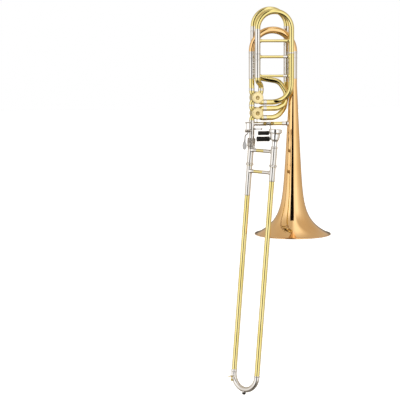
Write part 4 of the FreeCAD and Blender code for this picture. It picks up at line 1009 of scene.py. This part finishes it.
def inner_slide():
    top = at(NECK_X, 0, F_Z - KNUCKLE_REACH - 6)
    route = [(top, 0), (at(NECK_X, 0, NECK_BEND_Z), 40), (slide_top + down * 33, 0)]
    bent("neckpipe", follow(route, 1.5), TUBE_R, BORE_R, 48)

    thread_r = 11.5
    grip = [(4.4 + 0.45 * k, 12.4, 0) for k in range(32)]
    nut = [(2, 8.8), (2, 11.0, 0.8), (4, 12.4, 0.5)] + grip
    nut += [(19, 12.4, 0.3), (21, 11.9), (21, thread_r + FIT), (13.5, thread_r + FIT), (13.5, 8.8)]
    turned("lock_nut", LEFT, Z_AXIS, nut, 240, 0.2, knurl(56, 0.55, 4.6, 18.2),
        place=SLIDE, finish="worn_nickel")

    turned("slide_receiver", LEFT, Z_AXIS, [(14, TUBE_R + FIT), (14, thread_r), (15, thread_r),
        (15.6, thread_r - 0.5), (16.2, thread_r), (16.8, thread_r - 0.5), (17.4, thread_r), (23, thread_r),
        (23, 12.4), (24.6, 12.4), (25, 12.1), (25.4, 12.4), (27, 12.4), (29, 10.6, 1.0), (36, BARREL_R),
        (36, BARREL_BORE), (46, BARREL_BORE), (46, INNER_R), (34, INNER_R), (34, TUBE_R + FIT)], 64,
        place=SLIDE, finish="worn_nickel")

    barrels = Skin()
    lathe(barrels, LEFT, Z_AXIS, [(36, BARREL_BORE), (36, BARREL_R), (78, BARREL_R, 4.0), (82, 11.3, 0.8),
        (82.6, 12.2), (84.2, 12.2), (84.6, 11.9), (85.0, 12.2), (86.2, 12.2), (87, 11),
        (87, BARREL_BORE)], 64, 0.25)
    lathe(barrels, RIGHT, Z_AXIS, [(40, BARREL_BORE), (40, BARREL_R), (77.4, BARREL_R), (77.4, 9.9),
        (80.2, 9.9), (80.2, BARREL_R), (87.5, BARREL_R), (87.5, BARREL_BORE)], 64, 0.25)
    make("cork_barrels", barrels, SLIDE)

    ring_r = BARREL_R + FIT
    lock = Skin()
    grip = [(83.2 + 0.4 * k, 12.4, 0) for k in range(9)]
    ring = [(80.5, ring_r), (80.5, 10.8), (82.8, 12.4, 0.3)] + grip
    ring += [(87.0, 12.0), (87.5, 11.2), (87.5, ring_r)]
    lathe(lock, RIGHT, Z_AXIS, ring, 200, 0.2, ripple=milled(50, 0.5, 82.9, 86.7))
    arm(lock, [(at(SLIDE_W + 11.0, 0, 84), 1.9, 1.7), (at(SLIDE_W + 13.4, 0, 84), 1.8, 1.6)], Z_AXIS)
    make("slide_lock_ring", lock, SLIDE)

    turned("mouthpiece_receiver", RIGHT, Z_AXIS, [(24, 7.65), (24, 9.4), (25.2, 10.3, 0.5), (26.6, 10.3),
        (27, 10.0), (27.4, 10.3), (28.8, 10.3, 0.5), (30, 9.6), (40, BARREL_R), (40, BARREL_BORE),
        (46, BARREL_BORE), (46, INNER_R), (44, INNER_R), (44, 6.95)], 64, place=SLIDE)

    tubes = Skin()
    stocking = SLIDE_TUBE_BORE - FIT
    for base, start in ((LEFT, 34.0), (RIGHT, 44.0)):
        lathe(tubes, base, Z_AXIS, [(start, INNER_BORE), (start, INNER_R), (600, INNER_R), (606, stocking),
            (724, stocking), (726, INNER_R), (726, INNER_BORE)], 56, 0.2)
    make("inner_slide_tubes", tubes, SLIDE)
    slide_brace("inner_slide_brace", 39.5, BARREL_R, 27.0, 56.0)

    turned("mouthpiece", RIGHT, Z_AXIS, [(-19, 19.4, 0.6), (-22, 19.9, 1.0), (-27.5, 19.9, 1.2),
        (-29.6, 18.9, 1.5), (-30.5, 17.2, 1.2), (-30.1, 15.2, 0.9), (-28, 13.9, 0.9), (-18, 12.9, 6.0),
        (-8, 10.4, 6.0), (-1, 6.2, 4.0), (4, 3.7, 2.5), (10, 3.6, 3.0), (53, 5.4), (53, 6.5), (24.5, 7.45),
        (24, 7.45), (23.5, 8.2, 0.6), (9, 8.4, 2.0), (6, 9.6, 1.2), (2, 12.4, 1.6), (-6, 14.2, 4.0),
        (-14, 14.8, 3.0), (-17.5, 16.0, 1.0)], 112, 0.3, place=SLIDE)


# ---------------------------------------------------------------- hand slide, outer half
def outer_slide():
    end = CROOK_START - 2
    tubes = Skin()
    sleeves = Skin()
    for base, last in ((LEFT, 182.5), (RIGHT, 132.0)):
        pipe(tubes, base, Z_AXIS, 70, end, SLIDE_TUBE_R, SLIDE_TUBE_BORE)
        lathe(sleeves, base, Z_AXIS, [(88, SLIDE_TUBE_R), (88, 9.3), (90.5, 9.3), (90.5, 8.8),
            (last - 4, 8.8), (last - 4, 9.2), (last - 2.9, 9.2), (last - 2.6, 9.0), (last - 2.3, 9.2),
            (last - 1.5, 9.2), (last, 8.6), (last, SLIDE_TUBE_R)], 56, 0.2)
    make("outer_slide_tubes", tubes, SLIDE)
    make("outer_slide_sleeves", sleeves, SLIDE)
    slide_brace("outer_slide_brace", 105.3, 8.8, 22.0, 57.0)
    crook = Skin()
    bend = half_circle(at(0, 0, CROOK_START), at(SLIDE_W, 0, CROOK_START), Z_AXIS, 52)
    swept(crook, bend, CROOK_TUBE_R, SLIDE_TUBE_BORE, 56)
    lathe(crook, at(KEY_X, 0, NIPPLE_S), Y_AXIS, [(7.0, 2.0), (7.0, 3.9), (9.0, 3.2, 0.6),
        (11.0, 3.2), (11.0, 2.0)], 40, 0.2)
    make("slide_crook", crook, SLIDE)
    fittings = Skin()
    for base, start in ((LEFT, 733.0), (RIGHT, 738.0)):
        lathe(fittings, base, Z_AXIS, [(start, SLIDE_TUBE_R), (start, 8.6), (start + 1.5, 9.2),
            (CROOK_START - 2, 9.2), (CROOK_START - 0.5, 8.8), (CROOK_START - 0.5, SLIDE_TUBE_R)], 56, 0.2)
    socket = at(SLIDE_W / 2, 0, CROOK_START + CROOK_R + CROOK_TUBE_R)
    lathe(fittings, socket, Z_AXIS, [(-3.8, 0), (-3.8, 7.4), (-1.6, 7.2), (-0.5, 6.4, 0.5),
        (0.5, 6.2), (0.5, 0)], 56, 0.25)
    pivot = at(KEY_X, 14.2, NIPPLE_S - 11)
    posts = (KEY_X - 4.6, KEY_X + 4.6)
    for x in posts:
        post = [(at(x, y, pivot.z), half, 1.0) for y, half in ((8.0, 2.2), (11.5, 1.9), (14.4, 2.0))]
        arm(fittings, post, Z_AXIS)
    arm(fittings, [(at(x, 8.0, pivot.z), 2.2, 1.2) for x in posts], Z_AXIS)
    rod(fittings, pivot - X_AXIS * 6.6, pivot + X_AXIS * 6.6, 1.0, dome=0.4)
    make("crook_fittings", fittings, SLIDE)
    turned("bumper", socket, Z_AXIS, [(0.5, 0), (0.5, 5.4), (3.2, 5.7, 1.2), (5.4, 5.6, 1.5), (7.5, 4.4, 1.3),
        (7.5, 0)], 56, 0.4, place=SLIDE)
    key = Skin()
    lathe(key, pivot, X_AXIS, [(-1.1, 1.05), (-1.1, 2.6), (1.1, 2.6), (1.1, 1.05)], 36, 0.3)
    arm(key, [(pivot + at(0, 2.2, 0.8), 1.5, 1.1), (at(KEY_X, 16.9, pivot.z + 5), 1.3, 1.0),
              (at(KEY_X, 14.9, NIPPLE_S), 2.4, 1.0)], X_AXIS)
    lathe(key, at(KEY_X, 0, NIPPLE_S), Y_AXIS, [(12.6, 0), (12.6, 4.0), (14.2, 4.0, 0.6),
        (15.0, 3.0, 0.8), (15.0, 0)], 40, 0.25)
    arm(key, [(pivot + at(0, 2.0, -1.0), 1.5, 1.1), (at(KEY_X, 19.5, pivot.z - 2.9), 1.4, 1.0),
              (at(KEY_X, 25.0, pivot.z - 2.0), 1.6, 0.9), (at(KEY_X, 30.0, pivot.z - 1.5), 4.0, 0.8)], X_AXIS)
    make("water_key", key, SLIDE)
    cork = [(11.3, 0), (11.3, 3.4), (12.6, 3.4), (12.6, 0)]
    turned("water_key_cork", at(KEY_X, 0, NIPPLE_S), Y_AXIS, cork, 36, 0.2, place=SLIDE)
    spring = Skin()
    coil(spring, pivot, X_AXIS, -3.4, -1.5, 2.0, 0.4, 1.5)
    coil(spring, pivot, X_AXIS, 1.5, 3.4, 2.0, 0.4, 1.5)
    make("water_key_spring", spring, SLIDE)


bell()
main_slide()
valves()
loops()
loop_bows()
loop_braces()
bell_brace()
f_lever()
second_lever()
second_lever_bracket()
inner_slide()
outer_slide()

for node, carried in frame["nodes"].items():
    if not carried.hide_render:
        carried.data.materials.clear()
        carried.data.materials.append(FINISHES[SLOT_OF[node]])


# ---------------------------------------------------------------- camera, floor and light
scene = bpy.context.scene
camera = bpy.data.objects.new("camera", bpy.data.cameras.new("camera"))
scene.collection.objects.link(camera)
camera.location = (-0.8167, -3.7626, 0.5346)
YAW = 0.138
PITCH = 0.1103
ROLL = 0.0048
camera.rotation_euler = (math.pi / 2 - PITCH, ROLL, -YAW)
camera.data.sensor_width = 36.0
camera.data.lens = 109.89
camera.data.clip_end = 60.0
scene.camera = camera
scene.view_settings.view_transform = "Standard"

floor_mesh = bpy.data.meshes.new("floor")
floor_z = cad_box[0].z - 0.6       # below the hand slide at its full reach
corners = [(x * 40.0, y * 40.0, floor_z) for x, y in ((-1, -1), (1, -1), (1, 1), (-1, 1))]
floor_mesh.from_pydata(corners, [], [(0, 1, 2, 3)])
floor = bpy.data.objects.new("floor", floor_mesh)
scene.collection.objects.link(floor)
pale, _, pale_shader = new_material("pale_floor")
pale_shader.inputs["Base Color"].default_value = (0.86, 0.86, 0.86, 1)
pale_shader.inputs["Roughness"].default_value = 0.9
pale_shader.inputs["Emission Color"].default_value = (1, 1, 1, 1)
pale_shader.inputs["Emission Strength"].default_value = 0.60
floor_mesh.materials.append(pale)
floor.visible_glossy = False


def studio():
    """A white tent seen by the metal: bright in front, dark behind, a lamp above and a dark gap in front."""
    world = bpy.data.worlds.new("studio")
    scene.world = world
    world.use_nodes = True
    tree = world.node_tree
    tree.nodes.clear()
    away = add(tree, "TexCoord").outputs["Generated"]

    def along(direction):
        node = tree.nodes.new("ShaderNodeVectorMath")
        node.operation = "DOT_PRODUCT"
        tree.links.new(away, node.inputs[0])
        node.inputs[1].default_value = direction
        return node.outputs["Value"]

    def math_node(operation, a, b=0.0):
        node = tree.nodes.new("ShaderNodeMath")
        node.operation = operation
        plug(tree, node.inputs[0], a)
        plug(tree, node.inputs[1], b)
        return node.outputs[0]

    def mixed(share, a, b):
        node = tree.nodes.new("ShaderNodeMix")
        for number, value in ((0, share), (2, a), (3, b)):
            plug(tree, node.inputs[number], value)
        return node.outputs[0]

    facing = math.radians(11.8)
    front = along((-math.sin(facing), -math.cos(facing), 0))
    side = along((math.cos(facing), -math.sin(facing), 0))
    height = along((0, 0, 1))
    azimuth = math_node("ARCTAN2", side, front)
    lit = tree.nodes.new("ShaderNodeValToRGB")
    lit.color_ramp.interpolation = "EASE"
    stops = ((-180, 0.12), (-152, 0.52), (-128, 0.74), (-106, 0.82), (-80, 1.00), (-60, 1.22),
        (-36, 1.46), (-12, 1.44), (12, 1.24), (40, 1.34), (60, 1.00), (84, 0.78), (108, 0.66),
        (130, 0.60), (152, 0.44), (180, 0.12))
    while len(lit.color_ramp.elements) < len(stops):
        lit.color_ramp.elements.new(0.5)
    for element, (degrees, value) in zip(lit.color_ramp.elements, stops):
        element.position = degrees / 360 + 0.5
        element.color = (value, value, value, 1)
    tree.links.new(math_node("ADD", math_node("MULTIPLY", azimuth, 1 / math.tau), 0.5), lit.inputs[0])
    ceiling = ramp(tree, front, -0.75, 0.1, 0.62, 0.70)
    behind = math_node("MULTIPLY", ramp(tree, front, -0.10, -0.55), ramp(tree, height, 0.08, 0.32))
    tent = mixed(math_node("MAXIMUM", ramp(tree, height, 0.45, 0.88), behind), lit.outputs[0], ceiling)
    tent = mixed(ramp(tree, height, -0.30, -0.72), tent, 0.26)
    lamp_off = math_node("ABSOLUTE", math_node("SUBTRACT", side, 0.17))
    lamp = math_node("MULTIPLY", ramp(tree, lamp_off, 0.04, 0.24, 0.85, 0.0),
        math_node("MULTIPLY", ramp(tree, height, 0.45, 0.70), ramp(tree, front, -0.62, -0.10)))
    tent = mixed(lamp, tent, 1.40)
    off = math_node("ABSOLUTE", math_node("SUBTRACT", azimuth, math.radians(-6.0)))
    gap = ramp(tree, off, math.radians(14.5), math.radians(18.0), 1.0, 0.0)
    gap = math_node("MULTIPLY", gap, ramp(tree, height, 0.84, 0.88, 1.0, 0.0))
    tent = mixed(gap, tent, 0.005)
    seen = add(tree, "LightPath").outputs["Is Camera Ray"]
    bright = math_node("MAXIMUM", ramp(tree, tent, 0.55, 1.25), seen)
    tint = blended(tree, bright, (1.0, 0.90, 0.77), (1.0, 1.0, 1.0))
    ground = add(tree, "Background", Color=tint, Strength=mixed(seen, tent, 1.0))
    tree.links.new(ground.outputs[0], tree.nodes.new("ShaderNodeOutputWorld").inputs[0])


studio()

for name, spot, size, power in (("key", (1.6, -2.2, 2.2), 1.6, 26.0), ("fill", (-2.4, -1.4, 1.6), 1.8, 18.0)):
    lamp = bpy.data.lights.new(name, "AREA")
    lamp.size = size
    lamp.energy = power
    holder = bpy.data.objects.new(name, lamp)
    holder.location = spot
    holder.visible_glossy = False
    holder.rotation_euler = (Vector((-0.06, 0, 0.1)) - Vector(spot)).to_track_quat("-Z", "Y").to_euler()
    scene.collection.objects.link(holder)

bpy.context.view_layer.update()
